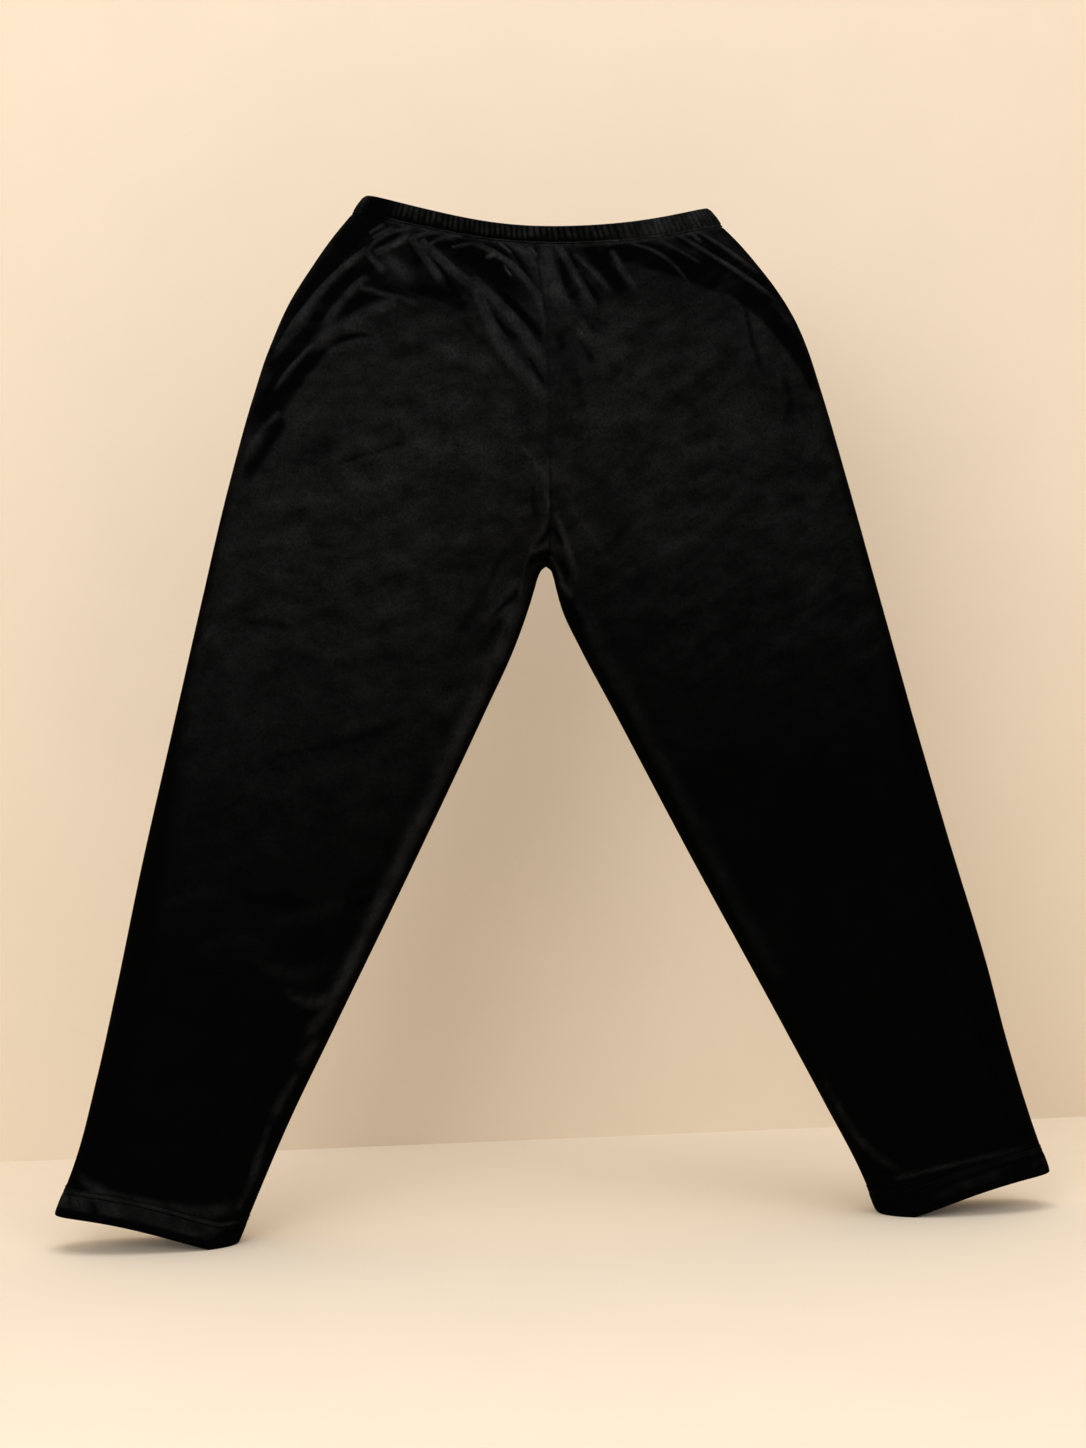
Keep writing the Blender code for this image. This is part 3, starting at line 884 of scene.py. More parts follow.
def away_from_seams(rows):
    """One on the open cloth, falling to nought at the side seams, the inseams and the hem."""
    shares = np.linspace(0, 1, COLUMNS + 1)
    turned = column_of(rows, "turn") / QUARTER
    off_hem = ramp(column_of(rows, "level"), HEM_SEAM, 60)
    return ramp(shares, 0, 0.12) * (1 - turned * (1 - ramp(shares, 1, -0.12))) * off_hem


def seam_dip(from_side, from_inner, from_top, from_hem):
    """How far the cloth sinks into its seams and under the waistband."""
    near_seam = 1 - smooth_step(np.minimum(from_side, from_inner) / 2.6)
    near_top = 1 - smooth_step(from_top / 3)
    near_hem = 1 - smooth_step(from_hem / 1.6)
    return 0.5 * near_seam + 0.7 * near_top + 0.3 * near_hem


def inseam_rim(from_inner, rows):
    """The inside leg's allowance makes a soft ridge beside the seam, with a dip behind it."""
    level = column_of(rows, "level")
    on_leg = column_of(rows, "turn") >= QUARTER
    strength = on_leg * ramp(level, CROTCH, -26) * (0.45 + 0.55 * ramp(level, 120, 160))
    return strength * (1.5 * hump(from_inner, 34, 6) - 0.9 * hump(from_inner, 45, 7))


def lowest_near(height):
    """The smoothed lowest height near each place, so that the inner side never meets the outer."""
    size = 5
    for work in (np.min, np.mean):
        for axis in (0, 1):
            margin = [(0, 0), (0, 0)]
            margin[axis] = (size // 2, size // 2)
            padded = np.pad(height, margin, mode="edge")
            height = work(sliding_window_view(padded, size, axis=axis), axis=-1)
    return height


def folds_and_painted_light(x, z, from_top, face):
    """How far the folds stand out, with painted light on their crests and painted shade in their troughs,
    and the painted sheen, shade and seam highlight on the nap.
    """
    if face > 0:
        ridges, troughs = raised(x, z, BACK_FOLDS, FOLD_FADING)
        # the back's ridges get painted light and its troughs painted shade
        return ridges + troughs, ridges / 7.5, troughs / 4
    ridges, troughs = raised(x, z, FRONT_FOLDS, FOLD_FADING)
    crests, creases = raised(x, z, FRONT_CREASES, CREASE_FADING)
    lighter, darker = raised(x, z, FRONT_SHEEN, SHEEN_FADING)
    shaded = raised(x, z, FRONT_SHADE, SHADE_FADING, 0.5)[1]
    waves = ramp(z, WAVES_END, -50) * ramp(z, WAVES_START, 90)
    # a painted highlight along the waistband's seam
    seam_highlight = hump(from_top, 1.2, 1.9) * ramp(x, BAND_LIGHT_START, 14)
    seam_highlight *= 0.75 + 0.35 * wander(x / 9, 6)
    relief = (ridges + 0.6 * crests) + (troughs + 0.6 * creases)
    # painted light on ridges, crests, sheen and the seam's edge; painted shade in troughs, creases and
    # shaded places
    light = waves * ridges / 12 + crests / 2.8 + lighter / 3.6 + seam_highlight
    dark = waves * troughs / 6 + (creases + shaded) / 1.5 + darker / 2
    return relief, light, dark


def painted_light_on_nap(x, z, face, out_gap, in_gap, light, dark):
    """Painted light and shade on the nap: lightest on belly and thighs, fading down the legs and to the
    edges.
    """
    if face < 0:
        right = NAP_SHADE + RIGHT_PAINTED_LIGHT * ramp(z, 210, 560) ** 1.15
        left = NAP_SHADE + LEFT_PAINTED_LIGHT * ramp(z, 385, 380) ** 1.4
        shaded = 0.74 - 0.35 * hump(x, 0, 36) - 0.5 * ramp(x, 20, 50)
    else:
        right = NAP_SHADE + BACK_PAINTED_LIGHT * ramp(z, 230, 500)
        left = NAP_SHADE + BACK_PAINTED_LIGHT * ramp(z, 260, 480)
        shaded = 0.5
    to_left = ramp(x, -6, 12)
    tone = right + (left - right) * to_left
    tone *= 1 - shaded * smooth_step((z - WAIST_SHADE_START - 10 * to_left) / 60)
    # painted shade towards the side edges and the inseams, where the cloth turns away from the light
    low = ramp(z, 580, -240)
    high = ramp(z, 780, 70)
    edge = (10 + 26 * low + 14 * high) * (1 - to_left) + (18 + 26 * low) * to_left
    tone *= 0.15 + 0.85 * smooth_step(out_gap / edge)
    tone *= 0.2 + 0.8 * ramp(in_gap, 3, 8)
    tone *= 2 ** dark
    return tone + (CREST_HIGHLIGHT - tone) * np.clip(light, 0, 1)


def as_share(tone):
    """A tone as a share of the way from the darkest to the lightest nap."""
    return np.clip((tone - NAP_BLACK) / (NAP_WHITE - NAP_BLACK), 0, 1)


def panel_nap_and_light(x, z, rows, side, face, light, dark):
    """A panel's nap, with its brush marks and with painted highlights along its inseam and hip."""
    turned = column_of(rows, "turn") / QUARTER
    out_gap = column_of(rows, "side_reach") - np.abs(x)
    in_gap = np.abs(x) - column_of(rows, "inner_reach") + 80 * (1 - turned ** 4)
    faces_light = side * face > 0
    inseam_light = ramp(z, CROTCH - 22, -30) * 0.85 * ramp(z, KNEE_LIGHT_START, 24) * hump(in_gap, 14, 6)
    hip_light = ramp(z, HIP_LIGHT_START, 60) * hump(out_gap, 0, 5)
    marks = brush_marks(x, z, face) * ramp(z, BRUSHED_START, 200)
    middle_seam = (1 - smooth_step(np.abs(x) / 1.6)) * ramp(z, CROTCH, 8)
    light = light + (1 if faces_light else 0.25) * inseam_light + (0.34 if faces_light else 0.14) * hip_light
    light = (light + 0.24 * np.maximum(marks, 0)) * (1 - 0.8 * middle_seam)
    dark = dark + 0.6 * np.minimum(marks, 0) - 0.5 * middle_seam
    tone = painted_light_on_nap(x, z, face, out_gap, in_gap, light, dark)
    if face < 0:
        # painted glints on the gathers' crests
        glint = np.clip(raised(x, z, GLINTS, CREASE_FADING)[0], 0, 1)
        tone += (NAP_GLINT - tone) * glint
    return as_share(tone)


def panel_surface(rows, side, face, cloth):
    """The outer and inner points of one panel with all its folds, in millimetres, and its nap with painted
    light and shade.
    """
    points = np.stack([row_points(row, face, COLUMNS) for row in rows])
    direction = outward(points, face, rows)
    from_side, from_inner, from_top, from_hem = distances(points)
    dip = seam_dip(from_side, from_inner, from_top, from_hem)[:, :, None]
    points[:, :, 0] *= side
    direction[:, :, 0] *= side
    x, z = points[:, :, 0], points[:, :, 2]
    drop = BAND_SEAM - column_of(rows, "level")
    slack = crumple(x, z, face)
    gathers = gather_height(x, drop, face)
    relief, light, dark = folds_and_painted_light(x, z, from_top, face)
    height = cloth.fold_strength * relief + cloth.crumple_height / MM * slack
    height *= 0.2 + 0.8 * smooth_step(drop / 26)
    height += cloth.gather_height / MM * gathers
    height = height * away_from_seams(rows) + inseam_rim(from_inner, rows)
    level_out = direction * (1, 1, 0)
    level_out /= np.maximum(np.linalg.norm(level_out, axis=2, keepdims=True), 0.5)
    outer = points + level_out * height[:, :, None] - direction * dip
    thickness = dip + cloth.thickness / MM
    inner = points + level_out * lowest_near(height)[:, :, None] - direction * thickness
    # painted shade in the troughs of the slack and the gathers, and painted light on the slack's crests
    dark = dark + 0.25 * slack + 0.4 * np.minimum(gathers, 0)
    return settle(outer), settle(inner), panel_nap_and_light(x, z, rows, side, face, light, dark)


# Making meshes


def to_metres(points):
    return (points + (0, SEAM_PLANE, 0)) * MM


def mesh_piece(name, points, faces, material, smooth_angle, nap=None):
    data = bpy.data.meshes.new(name)
    data.from_pydata([tuple(point) for point in points], [], [tuple(face) for face in faces])
    data.validate()
    # the nap attribute holds the nap's tone together with painted light, sheen and shade
    if nap is not None:
        values = data.attributes.new("nap", "FLOAT", "POINT").data
        values.foreach_set("value", np.ravel(nap).astype(np.float32))
    piece = bpy.data.objects.new(name, data)
    bpy.context.scene.collection.objects.link(piece)
    data.materials.append(material)
    bpy.ops.object.select_all(action="DESELECT")
    piece.select_set(True)
    bpy.context.view_layer.objects.active = piece
    bpy.ops.object.mode_set(mode="EDIT")
    bpy.ops.mesh.select_all(action="SELECT")
    bpy.ops.mesh.normals_make_consistent(inside=False)
    bpy.ops.object.mode_set(mode="OBJECT")
    bpy.ops.object.shade_smooth_by_angle(angle=smooth_angle)
    piece.select_set(False)
    return piece


def tube_faces(rings, sides, joined_ends):
    """Faces of a tube of rings with this many points each. The last ring may join the first."""
    faces = []
    for ring in range(rings if joined_ends else rings - 1):
        here = ring * sides
        below = (ring + 1) % rings * sides
        for place in range(sides):
            follow = (place + 1) % sides
            faces.append((here + place, here + follow, below + follow, below + place))
    return faces


def cloth_sheet(name, outer, inner, nap, material):
    """A closed thin shell between an outer and an inner grid."""
    rings = np.concatenate([outer, inner[:, ::-1]], axis=1)
    naps_and_light = np.concatenate([nap, np.full_like(nap, as_share(NAP_LINING))], axis=1)
    rows, columns = rings.shape[:2]
    faces = tube_faces(rows, columns, False)
    for row in (0, rows - 1):
        base = row * columns
        for place in range(columns // 2 - 1):
            far = columns - 1 - place
            faces.append((base + place, base + place + 1, base + far - 1, base + far))
    return mesh_piece(name, to_metres(rings.reshape(-1, 3)), faces, material, CLOTH_SMOOTHING, naps_and_light)


def casing(name, rings, naps_and_light, material):
    """A closed wall of rings that run round the waist or a leg, in the order of its section."""
    faces = tube_faces(*rings.shape[:2], True)
    return mesh_piece(name, to_metres(rings.reshape(-1, 3)), faces, material, RIM_SMOOTHING, np.stack(naps_and_light))


# Materials


def set_inputs(tree, node, inputs):
    """Gives each input, by name or number, its value, or links it to the socket that feeds it."""
    for key, value in inputs.items():
        if isinstance(value, bpy.types.NodeSocket):
            tree.links.new(value, node.inputs[key])
        else:
            node.inputs[key].default_value = value


def add_node(tree, kind, label, inputs, **settings):
    node = tree.nodes.new(kind)
    node.label = label
    for key, value in settings.items():
        setattr(node, key, value)
    set_inputs(tree, node, inputs)
    return node


def tone_between(tree, label, low, high, share):
    """A colour that lies between two others."""
    inputs = {"A": (*low, 1), "B": (*high, 1), "Factor": share}
    return add_node(tree, "ShaderNodeMix", label, inputs, data_type="RGBA").outputs["Result"]


def new_material(name):
    """A material, its nodes and its shader."""
    material = bpy.data.materials.new(name)
    material.use_nodes = True
    return material, material.node_tree, material.node_tree.nodes["Principled BSDF"]


def knit_group():
    """Brushed knit: cloudy patches of laid nap, fine speckle and the height of its pile."""
    found = bpy.data.node_groups.get("brushed_knit")
    if found:
        return found
    group = bpy.data.node_groups.new("brushed_knit", "ShaderNodeTree")
    for name, value in (("Patch Size", 26), ("Nap Size", 420), ("Nap", 0.2)):
        group.interface.new_socket(name, in_out="INPUT", socket_type="NodeSocketFloat").default_value = value
    for name in ("Lightness", "Patches", "Height"):
        group.interface.new_socket(name, in_out="OUTPUT", socket_type="NodeSocketFloat")
    into = group.nodes.new("NodeGroupInput")
    place = group.nodes.new("ShaderNodeTexCoord").outputs["Object"]
    lay = add_node(
        group, "ShaderNodeMapping", "Lay of the nap",
        {"Vector": place, "Scale": (1, 1, 1.35), "Rotation": (0, math.radians(20), 0)},
    )
    patches = add_node(
        group, "ShaderNodeTexNoise", "Laid patches",
        {
            "Vector": lay.outputs["Vector"], "Scale": into.outputs["Patch Size"],
            "Detail": 5, "Roughness": 0.62,
        },
    )
    spread = add_node(
        group, "ShaderNodeMapRange", "Patch contrast",
        {"Value": patches.outputs["Fac"], "From Min": 0.34, "From Max": 0.68},
    )
    speckle = add_node(
        group, "ShaderNodeTexNoise", "Pile speckle",
        {"Vector": place, "Scale": into.outputs["Nap Size"], "Detail": 3},
    )
    patched = add_node(
        group, "ShaderNodeMapRange", "Lighter patches",
        {"Value": spread.outputs["Result"], "To Min": 0.5, "To Max": 1.5},
    )
    speckled = add_node(
        group, "ShaderNodeMapRange", "Lighter pile tips",
        {"Value": speckle.outputs["Fac"], "From Min": 0.3, "From Max": 0.7, "To Min": 0.55, "To Max": 1.45},
    )
    uneven = add_node(
        group, "ShaderNodeMath", "Patches and pile",
        {0: patched.outputs["Result"], 1: speckled.outputs["Result"]}, operation="MULTIPLY",
    )
    lightness = add_node(
        group, "ShaderNodeMath", "Lightness of the nap",
        {0: into.outputs["Nap"], 1: uneven.outputs["Value"]}, operation="MULTIPLY", use_clamp=True,
    )
    height = add_node(
        group, "ShaderNodeMath", "Pile over patches",
        {0: speckle.outputs["Fac"], 1: 0.5, 2: spread.outputs["Result"]}, operation="MULTIPLY_ADD",
    )
    results = {"Lightness": lightness.outputs["Value"], "Patches": spread.outputs["Result"]}
    results["Height"] = height.outputs["Value"]
    set_inputs(group, group.nodes.new("NodeGroupOutput"), results)
    return group


def knit_material(name, colour, patch_size):
    """Black brushed knit, a little lighter where its nap attribute holds painted light, sheen and glints."""
    found = bpy.data.materials.get(name)
    if found:
        return found
    material, tree, shader = new_material(name)
    lit_nap = add_node(tree, "ShaderNodeAttribute", "Nap with painted light and shade", {}, attribute_name="nap")
    knit = add_node(
        tree, "ShaderNodeGroup", "Brushed knit",
        {"Patch Size": patch_size, "Nap": lit_nap.outputs["Fac"]}, node_tree=knit_group(),
    )
    darkest = [channel * NAP_BLACK / NAP_WHITE for channel in colour]
    rough = add_node(
        tree, "ShaderNodeMapRange", "Nap roughness",
        {"Value": knit.outputs["Patches"], "To Min": 0.85, "To Max": 0.68},
    )
    bump = add_node(
        tree, "ShaderNodeBump", "Nap relief",
        {"Height": knit.outputs["Height"], "Strength": 0.3, "Distance": 0.0006},
    )
    set_inputs(tree, shader, {
        "Base Color": tone_between(tree, "Nap tone", darkest, colour, knit.outputs["Lightness"]),
        "Roughness": rough.outputs["Result"],
        "Metallic": 0,
        "Specular IOR Level": 0.003,
        "Normal": bump.outputs["Normal"],
    })
    return material


def grained_material(name, grain, low, high, roughness, specular):
    """A finish whose colour wanders between two tones. The grain is its scale and its detail."""
    material, tree, shader = new_material(name)
    place = tree.nodes.new("ShaderNodeTexCoord").outputs["Object"]
    noise = add_node(
        tree, "ShaderNodeTexNoise", "Grain", {"Vector": place, "Scale": grain[0], "Detail": grain[1]}
    )
    tone = tone_between(tree, "Grain tone", low, high, noise.outputs["Fac"])
    set_inputs(tree, shader, {"Base Color": tone, "Roughness": roughness, "Specular IOR Level": specular})
    return material


def thread_material():
    return grained_material(
        "sewing_thread", (900, 2), (0.0008, 0.0008, 0.0009), (0.0022, 0.0022, 0.0024), 0.6, 0.04
    )


def plaster(name, colour):
    low = [channel * 0.97 for channel in colour]
    high = [min(channel * 1.03, 1) for channel in colour]
    return grained_material(name, (6, 6), low, high, 0.9, 0.2)


def clear_from_behind(material):
    """Makes a wall see-through from behind, so that it hides nothing in other views."""
    tree = material.node_tree
    back = tree.nodes.new("ShaderNodeNewGeometry").outputs["Backfacing"]
    clear = tree.nodes.new("ShaderNodeBsdfTransparent").outputs["BSDF"]
    solid = tree.nodes["Principled BSDF"].outputs["BSDF"]
    sides = {"Fac": back, 1: solid, 2: clear}
    mix = add_node(tree, "ShaderNodeMixShader", "Seen from the front only", sides)
    set_inputs(tree, tree.nodes["Material Output"], {"Surface": mix.outputs["Shader"]})


# Lines round the waist and the legs


def face_line(row, face, side=1):
    """A row's points from the side seam inwards, on the wearer's left where the side is 1."""
    return row_points(row, face, LOOP_COLUMNS) * (side, 1, 1)


def leg_loop(row):
    """A closed line round one leg, from its side seam over the front and back again."""
    return np.concatenate([face_line(row, -1), face_line(row, 1)[-2:0:-1]])


def waist_loop(left_row, right_row):
    """A closed line round the waist, from the left side over the front."""
    return np.concatenate([
        face_line(left_row, -1)[:-1],
        face_line(right_row, -1, -1)[:0:-1],
        face_line(right_row, 1, -1)[:-1],
        face_line(left_row, 1)[:0:-1],
    ])


def even_loop(line, count):
    """A closed line at evenly spaced places, and its length."""
    closed = np.concatenate([line, line[:1]])
    length = np.concatenate([[0], np.cumsum(np.linalg.norm(np.diff(closed, axis=0), axis=1))])
    places = np.linspace(0, length[-1], count, endpoint=False)
    return np.stack([np.interp(places, length, closed[:, axis]) for axis in range(3)], axis=1), length[-1]


def level_outward(line):
    """Level directions out from a closed line."""
    tangent = np.roll(line, -1, axis=0) - np.roll(line, 1, axis=0)
    out = np.stack([-tangent[:, 1], tangent[:, 0], np.zeros(len(line))], axis=1)
    centre = line.mean(axis=0) * (1, 1, 0)
    turn = np.sign(np.sum(out * (line * (1, 1, 0) - centre)))
    return turn * out / np.maximum(np.linalg.norm(out, axis=1, keepdims=True), 1e-9)


# The pieces


class PANTS_OT_leg_panels(Operator):
    """Lay the two front and two back panels, with their folds and gathers"""

    bl_idname = "pants.leg_panels"
    bl_label = "Leg panels"

    def execute(self, context):
        cloth = context.scene.pants_cloth
        material = knit_material("black_brushed_knit", cloth.colour, LEG_PATCHES)
        for wearer_side, side in (("right", -1), ("left", 1)):
            rows = panel_rows(wearer_side)
            for face_name, face, cut in (("front", -1, FRONT_CUT), ("back", 1, BACK_CUT)):
                outer, inner, nap = panel_surface(rows, side, face, cloth)
                name = f"{wearer_side}_{face_name}"
                piece = cloth_sheet(name + "_cloth", outer, inner, nap, material)
                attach(piece, "root")
                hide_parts(name + "_panel")
        return {"FINISHED"}


class PANTS_OT_waistband(Operator):
    """Gather the elastic casing into fine uneven ribs"""

    bl_idname = "pants.waistband"
    bl_label = "Waistband"

    def execute(self, context):
        cloth = context.scene.pants_cloth
        band = context.scene.pants_waistband
        left_row = cloth_row(BAND_SEAM, 0, "left")
        right_row = cloth_row(BAND_SEAM, 0, "right")
        top_row = left_row._replace(
            side_reach=BAND_TOP_REACH,
            side_height=BAND_TOP + BAND_TOP_SIDE_LIFT,
            inner_height=BAND_TOP,
            back_lift=BAND_TOP_BACK_LIFT,
            depth_front=BAND_TOP_DEPTH,
            depth_back=BAND_TOP_DEPTH + left_row.depth_back - left_row.depth_front,
        )
        count = band.ribs * RIB_PLACES
        seam = even_loop(waist_loop(left_row, right_row), count)[0]
        top = even_loop(waist_loop(top_row, top_row), count)[0]
        seam_out, top_out = level_outward(seam), level_outward(top)
        turn = np.arange(count) / count * 2 * np.pi
        phase = band.ribs * turn + 0.9 * wander(turn * 9, 1) + 0.7 * wander(turn * 31, 5)
        size = 0.62 + 0.38 * wander(turn * 17, 3)
        rings, naps_and_light = [], []
        for up, out, ribbed in band_profile():
            lean = (1.6 + 0.8 * wander(turn * 23, 8)) * (0.5 - up)
            lobe = np.abs(np.cos(0.5 * (phase + lean))) ** 0.9
            rib = band.rib_height / MM * size * (lobe - 0.5) * ribbed
            base = seam + (top - seam) * up + (0, 0, SEAM_GAP / 2 * (1 - up))
            base[:, 2] += 0.5 * wander(turn * 41, 2) * max(0, 1 - 4 * up) * (out > -1)
            away = seam_out + (top_out - seam_out) * up
            rings.append(base + away * (out + rib)[:, None])
            naps_and_light.append(band_nap_and_light(base[:, 0], base[:, 1], up, out, lobe))
        material = knit_material("black_ribbed_casing", cloth.colour, BAND_PATCHES)
        piece = casing("waistband_cloth", settle(np.stack(rings)), naps_and_light, material)
        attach(piece, "root")
        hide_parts("waistband")
        return {"FINISHED"}


def band_profile():
    """Up from the seam, out from the casing's face and how ribbed, round the casing's section."""
    steps = [(0, -0.7, 0), (0.025, 0.3, 0.1), (0.075, 0.35, 0.15), (0.12, -0.35, 0.3)]
    for up in np.linspace(0.18, 0.88, 8):
        bulge = math.sin(math.pi * (0.08 + 0.84 * up))
        steps.append((up, bulge, 0.35 + 0.65 * math.sin(math.pi * (0.1 + 0.8 * up))))
    for degrees in (20, 50, 80, 110, 140, 165):
        turn = math.radians(degrees)
        steps.append((0.9 + 0.1 * math.sin(turn), -BAND_WALL / 2 + BAND_WALL / 2 * math.cos(turn), 0.45))
    for up in (0.8, 0.5, 0.2):
        steps.append((up, -BAND_WALL, 0.3))
    # the allowance hangs down behind the panels' upper edges
    return steps + [(ALLOWANCE_UP, -BAND_WALL, 0), (ALLOWANCE_UP, -BAND_WALL + ALLOWANCE_WALL, 0)]


def band_nap_and_light(x, y, up, out, lobe):
    """Painted light on the ribs and painted shade in their valleys, darkest towards the right end, over a
    painted highlight along the wavy seam.
    """
    if out < -2:
        return as_share(np.full_like(x, NAP_INSIDE))
    shaded_end = ramp(x, BAND_LIGHT_START, 26)
    left_end = ramp(x, 30, 70)
    # a painted highlight on the rim at the waistband's right end
    lit_rim = smooth_step((10 * up - x - 167) / 6)
    raised_part = smooth_step((up - 0.16 - 0.1 * wander(x / 5, 2)) / 0.3)
    crest = BAND_PAINTED_LIGHT + BAND_MIDDLE_LIGHT * hump(x, -10, 18) + BAND_LEFT_LIGHT * left_end
    crest = shaded_end * crest * (left_end + (1 - left_end) * raised_part)
    crest = NAP_SHADE + crest + BAND_RIM_HIGHLIGHT * lit_rim
    valley = 0.08 + 0.24 * np.maximum(left_end, lit_rim)
    rib = lobe ** (1.5 - 0.8 * left_end)
    front = crest * (valley + (1 - valley) * rib) * (1 + 0.45 * cloud(x / 6, 2.5 * up, 5))
    tone = np.where(y < 0, front, BAND_BACK_LIGHT * (0.3 + 0.7 * lobe ** 1.5))
    # a painted highlight and painted glints along the waistband's seam
    if 0.01 < up < 0.1 and out > -1:
        lit_seam = ramp(x, BAND_LIGHT_START + 2, 12) * (y < 0)
        seam_glints = np.clip(wander(x / 6.5, 4) * 1.6, 0, 1) * hump(x, 90, 50)
        tone = tone + (CREST_HIGHLIGHT * 0.9 - tone) * lit_seam + (NAP_GLINT - CREST_HIGHLIGHT) * seam_glints * lit_seam
    return as_share(tone)


class PANTS_OT_hems(Operator):
    """Turn up each leg's edge and stitch it with a twin needle"""

    bl_idname = "pants.hems"
    bl_label = "Hems"

    def execute(self, context):
        cloth = context.scene.pants_cloth
        sewing = context.scene.pants_stitching
        material = knit_material("black_brushed_knit", cloth.colour, LEG_PATCHES)
        thread = thread_material()
        for wearer_side, side in (("right", -1), ("left", 1)):
            seam, around = even_loop(leg_loop(cloth_row(HEM_SEAM, QUARTER, wearer_side)), HEM_PLACES)
            edge = even_loop(leg_loop(cloth_row(0, QUARTER, wearer_side)), HEM_PLACES)[0]
            seam_out, edge_out = level_outward(seam), level_outward(edge)
            run = np.arange(HEM_PLACES) / HEM_PLACES * around
            pucker = wander(run / 13, 2 + side) * 0.25 + wander(run / 41, side) * 0.35
            rings, naps_and_light = [], []
            for up, out, loose in HEM_PROFILE:
                base = edge + (seam - edge) * up
                away = edge_out + (seam_out - edge_out) * up
                rings.append(base + away * (out + loose * pucker)[:, None])
                naps_and_light.append(hem_nap_and_light(base[:, 0], base[:, 1], up, out, side))
            points = np.stack(rings) * (side, 1, 1)
            points[:, :, 2] = np.maximum(points[:, :, 2], 0)
            piece = casing(f"{wearer_side}_hem_cloth", points, naps_and_light, material)
            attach(piece, "root")
            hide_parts(f"{wearer_side}_hem")
            stitches = stitch_rows(f"{wearer_side}_hem_stitches", seam, edge, seam_out, side, sewing, thread)
            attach(stitches, "root")
        return {"FINISHED"}


def hem_nap_and_light(reach, y, up, out, side):
    """Painted shade in the stitched grooves with a painted light line between them, over a mottled turned-up
    edge with painted light.
    """
    if out < -1.2:
        return as_share(np.full_like(reach, NAP_INSIDE))
    off_corner = smooth_step((reach - HEM_CORNER - 34 * (1 - up)) / 24)
    mottle = 1 + 0.5 * cloud(reach / 9, 3 * up, 9 + side)
    body = ramp(up, 0.24, 0.16) * off_corner * mottle
    if side < 0:
        line = RIGHT_LINE_LIGHT * ramp(reach, HEM_CORNER, 14)
        wedge = hump(reach - 10 * up, HEM_WEDGE, 5)
        body = RIGHT_HEM_LIGHT * body * (1 - 0.85 * wedge * ramp(up, 0.9, -0.3))
    else:
        line = LEFT_LINE_LIGHT * ramp(reach, HEM_CORNER + 26, 40)
        patchy = 0.5 + 0.5 * np.clip(2 * cloud(reach / 26, 0, 4), -1, 1)
        body = LEFT_HEM_LIGHT * body * ramp(up, 0.78, -0.2) * patchy
    tone = np.maximum(NAP_SHADE, body)
    if 0.82 < up < 0.95:
        tone = np.maximum(tone, line)
    # painted shade in the two stitched grooves
    if 0.78 < up < 0.82 or 0.95 < up < 0.98:
        tone = np.full_like(reach, NAP_SHADE)
    if up > 0.98 and side > 0:
        tone = np.maximum(tone, LEFT_SEAM_LIGHT * ramp(reach, HEM_CORNER + 2, 24))
    side_seam = hump(reach + 6 * (1 - up), HEM_SIDE_SEAM, 2)
    tone = tone * (1 - 0.7 * side_seam)
    return as_share(np.where(y < 0, tone, np.maximum(0.6 * tone, NAP_SHADE)))


def stitch_rows(name, seam, edge, seam_out, side, sewing, material):
    """Two rows of short raised stitches just under the hem's seam, each a small six-sided bead."""
    stitch = sewing.stitch_length / MM
    radius = sewing.thread_width / MM / 2
    down = edge - seam
    down /= np.linalg.norm(down, axis=1, keepdims=True)
    last = (len(BEAD_RINGS) - 1) * BEAD_SIDES
    ends = [tuple(range(BEAD_SIDES)), tuple(reversed(range(last, last + BEAD_SIDES)))]
    bead_faces = tube_faces(len(BEAD_RINGS), BEAD_SIDES, False) + ends
    verts, faces = [], []
    for row in range(2):
        line = seam + down * (STITCH_DROP + row * sewing.row_distance / MM) + seam_out * STITCH_OUT
        spaced, around = even_loop(line, STITCH_PLACES)
        out = level_outward(spaced)
        count = int(around / (stitch * STITCH_SPACING))
        for number in range(count):
            middle = int((number + 0.5) / count * STITCH_PLACES)
            ahead, back = (middle + STITCH_RUN) % STITCH_PLACES, (middle - STITCH_RUN) % STITCH_PLACES
            along = spaced[ahead] - spaced[back]
            along /= np.linalg.norm(along)
            base = len(verts)
            faces += [tuple(base + corner for corner in face) for face in bead_faces]
            verts += bead(spaced[middle], along, out[middle], stitch / 2, radius)
    points = np.array(verts) * (side, 1, 1)
    return mesh_piece(name, to_metres(points), faces, material, CLOTH_SMOOTHING)


def bead(centre, along, out, half, radius):
    """The points of one stitch, ring after ring along its thread."""
    up = np.cross(out, along)
    points = []
    for reach, share in BEAD_RINGS:
        lift = BEAD_LIFT if share == 1 else 0
        for step in range(BEAD_SIDES):
            turn = step * 2 * math.pi / BEAD_SIDES
            round_it = (out * math.cos(turn) + up * math.sin(turn)) * radius * share
            points.append(centre + along * (half * reach) + round_it + out * (radius * lift))
    return points


# The stage


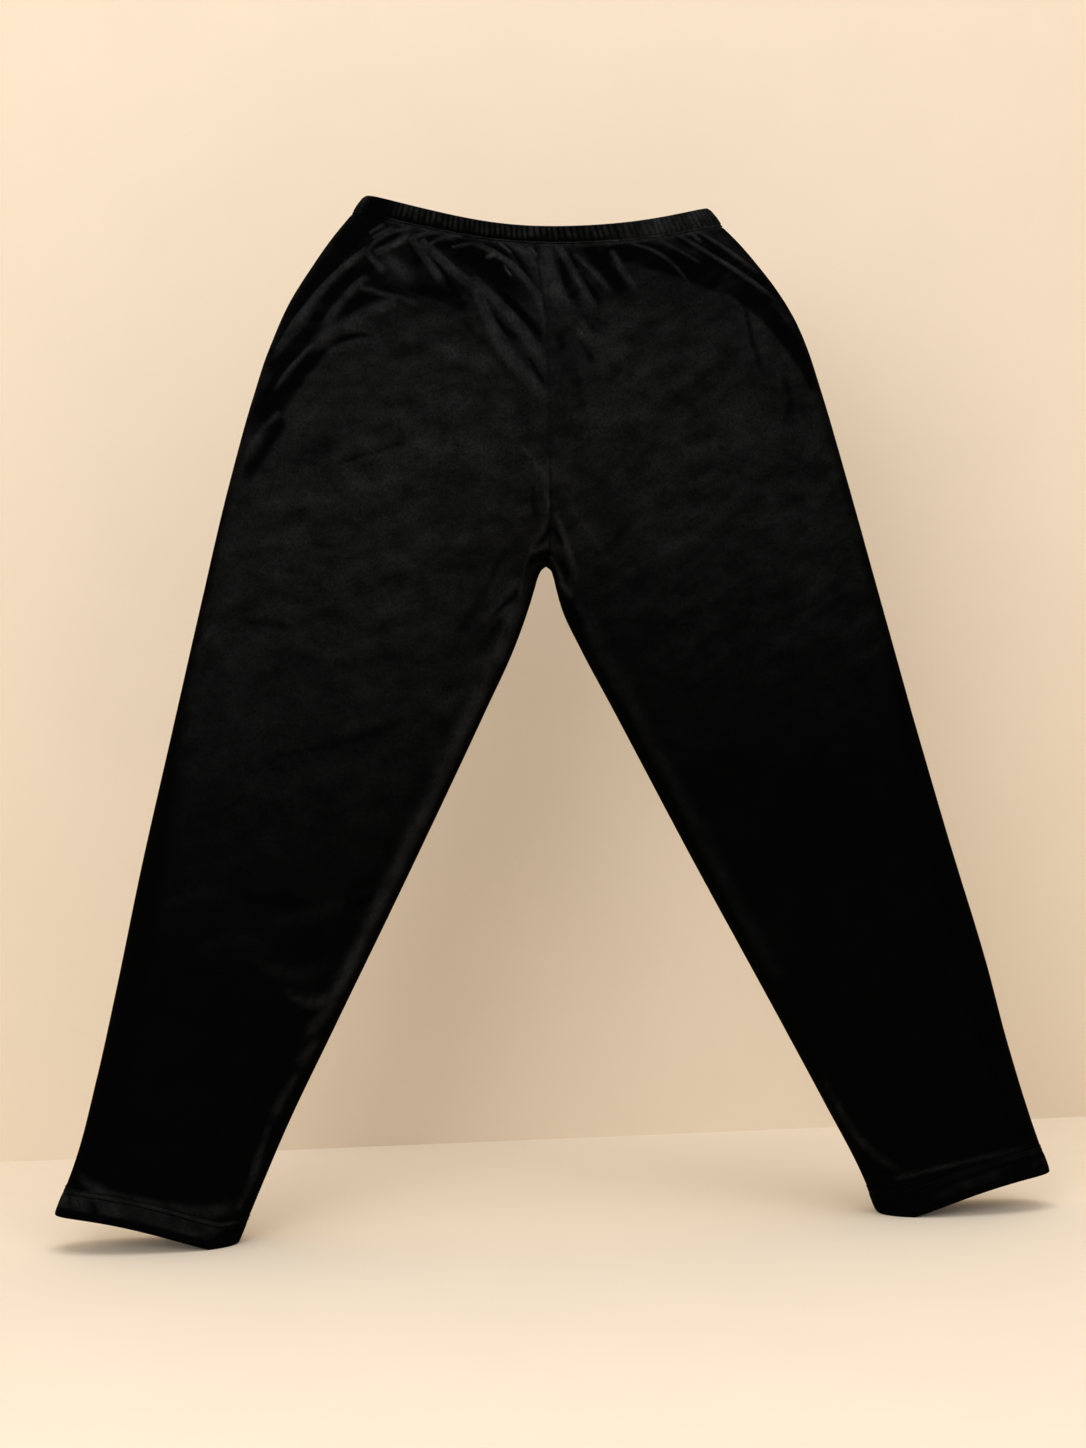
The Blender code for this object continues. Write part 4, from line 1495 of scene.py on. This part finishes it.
class PANTS_OT_stage(Operator):
    """Set out the floor, the wall behind, the lights and the camera"""

    bl_idname = "pants.stage"
    bl_label = "Stage"

    def execute(self, context):
        low, high = (-STAGE_REACH, WALL_BACK), (STAGE_REACH, WALL_BACK)
        floor = plain_sheet(
            "floor",
            [(-STAGE_REACH, -STAGE_REACH, 0), (STAGE_REACH, -STAGE_REACH, 0), (*high, 0), (*low, 0)],
            plaster("floor_plaster", (0.92, 0.82, 0.69)),
        )
        wall = plain_sheet(
            "backdrop",
            [(*low, 0), (*high, 0), (*high, STAGE_REACH), (*low, STAGE_REACH)],
            plaster("wall_plaster", (0.86, 0.74, 0.60)),
        )
        clear_from_behind(wall.data.materials[0])
        world = bpy.data.worlds.new("soft_studio")
        world.use_nodes = True
        background = world.node_tree.nodes["Background"]
        set_inputs(world.node_tree, background, {"Color": (1, 0.93, 0.84, 1), "Strength": 0.46})
        context.scene.world = world
        area_light("window_light", (-1.3, -2.9, 1.25), (0, 0, 0.5), 1.4, 36, (1, 1, 0.98))
        area_light("front_fill", (1.1, -3.1, 1.9), (0, 0, 0.6), 3, 20, (1, 0.97, 0.93))
        area_light("ceiling_light", (0, -0.8, 3.3), (0, -0.8, 0), 2.6, 44, (1, 0.98, 0.95))
        camera_data = bpy.data.cameras.new("photograph_view")
        camera_data.sensor_fit = "AUTO"
        camera_data.sensor_width = SENSOR
        camera_data.lens = VIEW_LENS
        camera_data.clip_start = 0.05
        camera = bpy.data.objects.new("photograph_view", camera_data)
        context.scene.collection.objects.link(camera)
        place, turn = viewpoint()
        camera.matrix_world = Matrix.LocRotScale(place, turn.to_quaternion(), None)
        context.scene.camera = camera
        context.scene.view_settings.view_transform = "Standard"
        return {"FINISHED"}


def plain_sheet(name, corners, material):
    data = bpy.data.meshes.new(name)
    data.from_pydata(corners, [], [(0, 1, 2, 3)])
    data.materials.append(material)
    piece = bpy.data.objects.new(name, data)
    bpy.context.scene.collection.objects.link(piece)
    return piece


def area_light(name, place, target, size, power, colour):
    data = bpy.data.lights.new(name, "AREA")
    data.size = size
    data.energy = power
    data.color = colour
    light = bpy.data.objects.new(name, data)
    light.location = place
    aim = Vector(target) - Vector(place)
    light.rotation_euler = aim.to_track_quat("-Z", "Y").to_euler()
    bpy.context.scene.collection.objects.link(light)


class PANTS_PT_sidebar(Panel):
    """Lists the pieces in the order in which they are made"""

    bl_label = "Lounge pants"
    bl_idname = "PANTS_PT_sidebar"
    bl_space_type = "VIEW_3D"
    bl_region_type = "UI"
    bl_category = "Lounge pants"

    def draw(self, context):
        column = self.layout.column()
        for group in ("pants_cloth", "pants_waistband", "pants_stitching"):
            settings = getattr(context.scene, group)
            for key in settings.bl_rna.properties.keys():
                if key not in ("rna_type", "name"):
                    column.prop(settings, key)
        for operator in OPERATORS:
            column.operator(operator.bl_idname)


OPERATORS = (PANTS_OT_waistband, PANTS_OT_leg_panels, PANTS_OT_hems, PANTS_OT_stage)
CLASSES = (PANTS_PG_cloth, PANTS_PG_waistband, PANTS_PG_stitching) + OPERATORS + (PANTS_PT_sidebar,)


def register():
    for cls in CLASSES:
        bpy.utils.register_class(cls)
    bpy.types.Scene.pants_cloth = PointerProperty(type=PANTS_PG_cloth)
    bpy.types.Scene.pants_waistband = PointerProperty(type=PANTS_PG_waistband)
    bpy.types.Scene.pants_stitching = PointerProperty(type=PANTS_PG_stitching)


def unregister():
    del bpy.types.Scene.pants_stitching
    del bpy.types.Scene.pants_waistband
    del bpy.types.Scene.pants_cloth
    for cls in reversed(CLASSES):
        bpy.utils.unregister_class(cls)


def main():
    register()
    bpy.ops.pants.waistband()
    bpy.ops.pants.leg_panels()
    bpy.ops.pants.hems()
    bpy.ops.pants.stage()


if __name__ == "__main__":
    main()
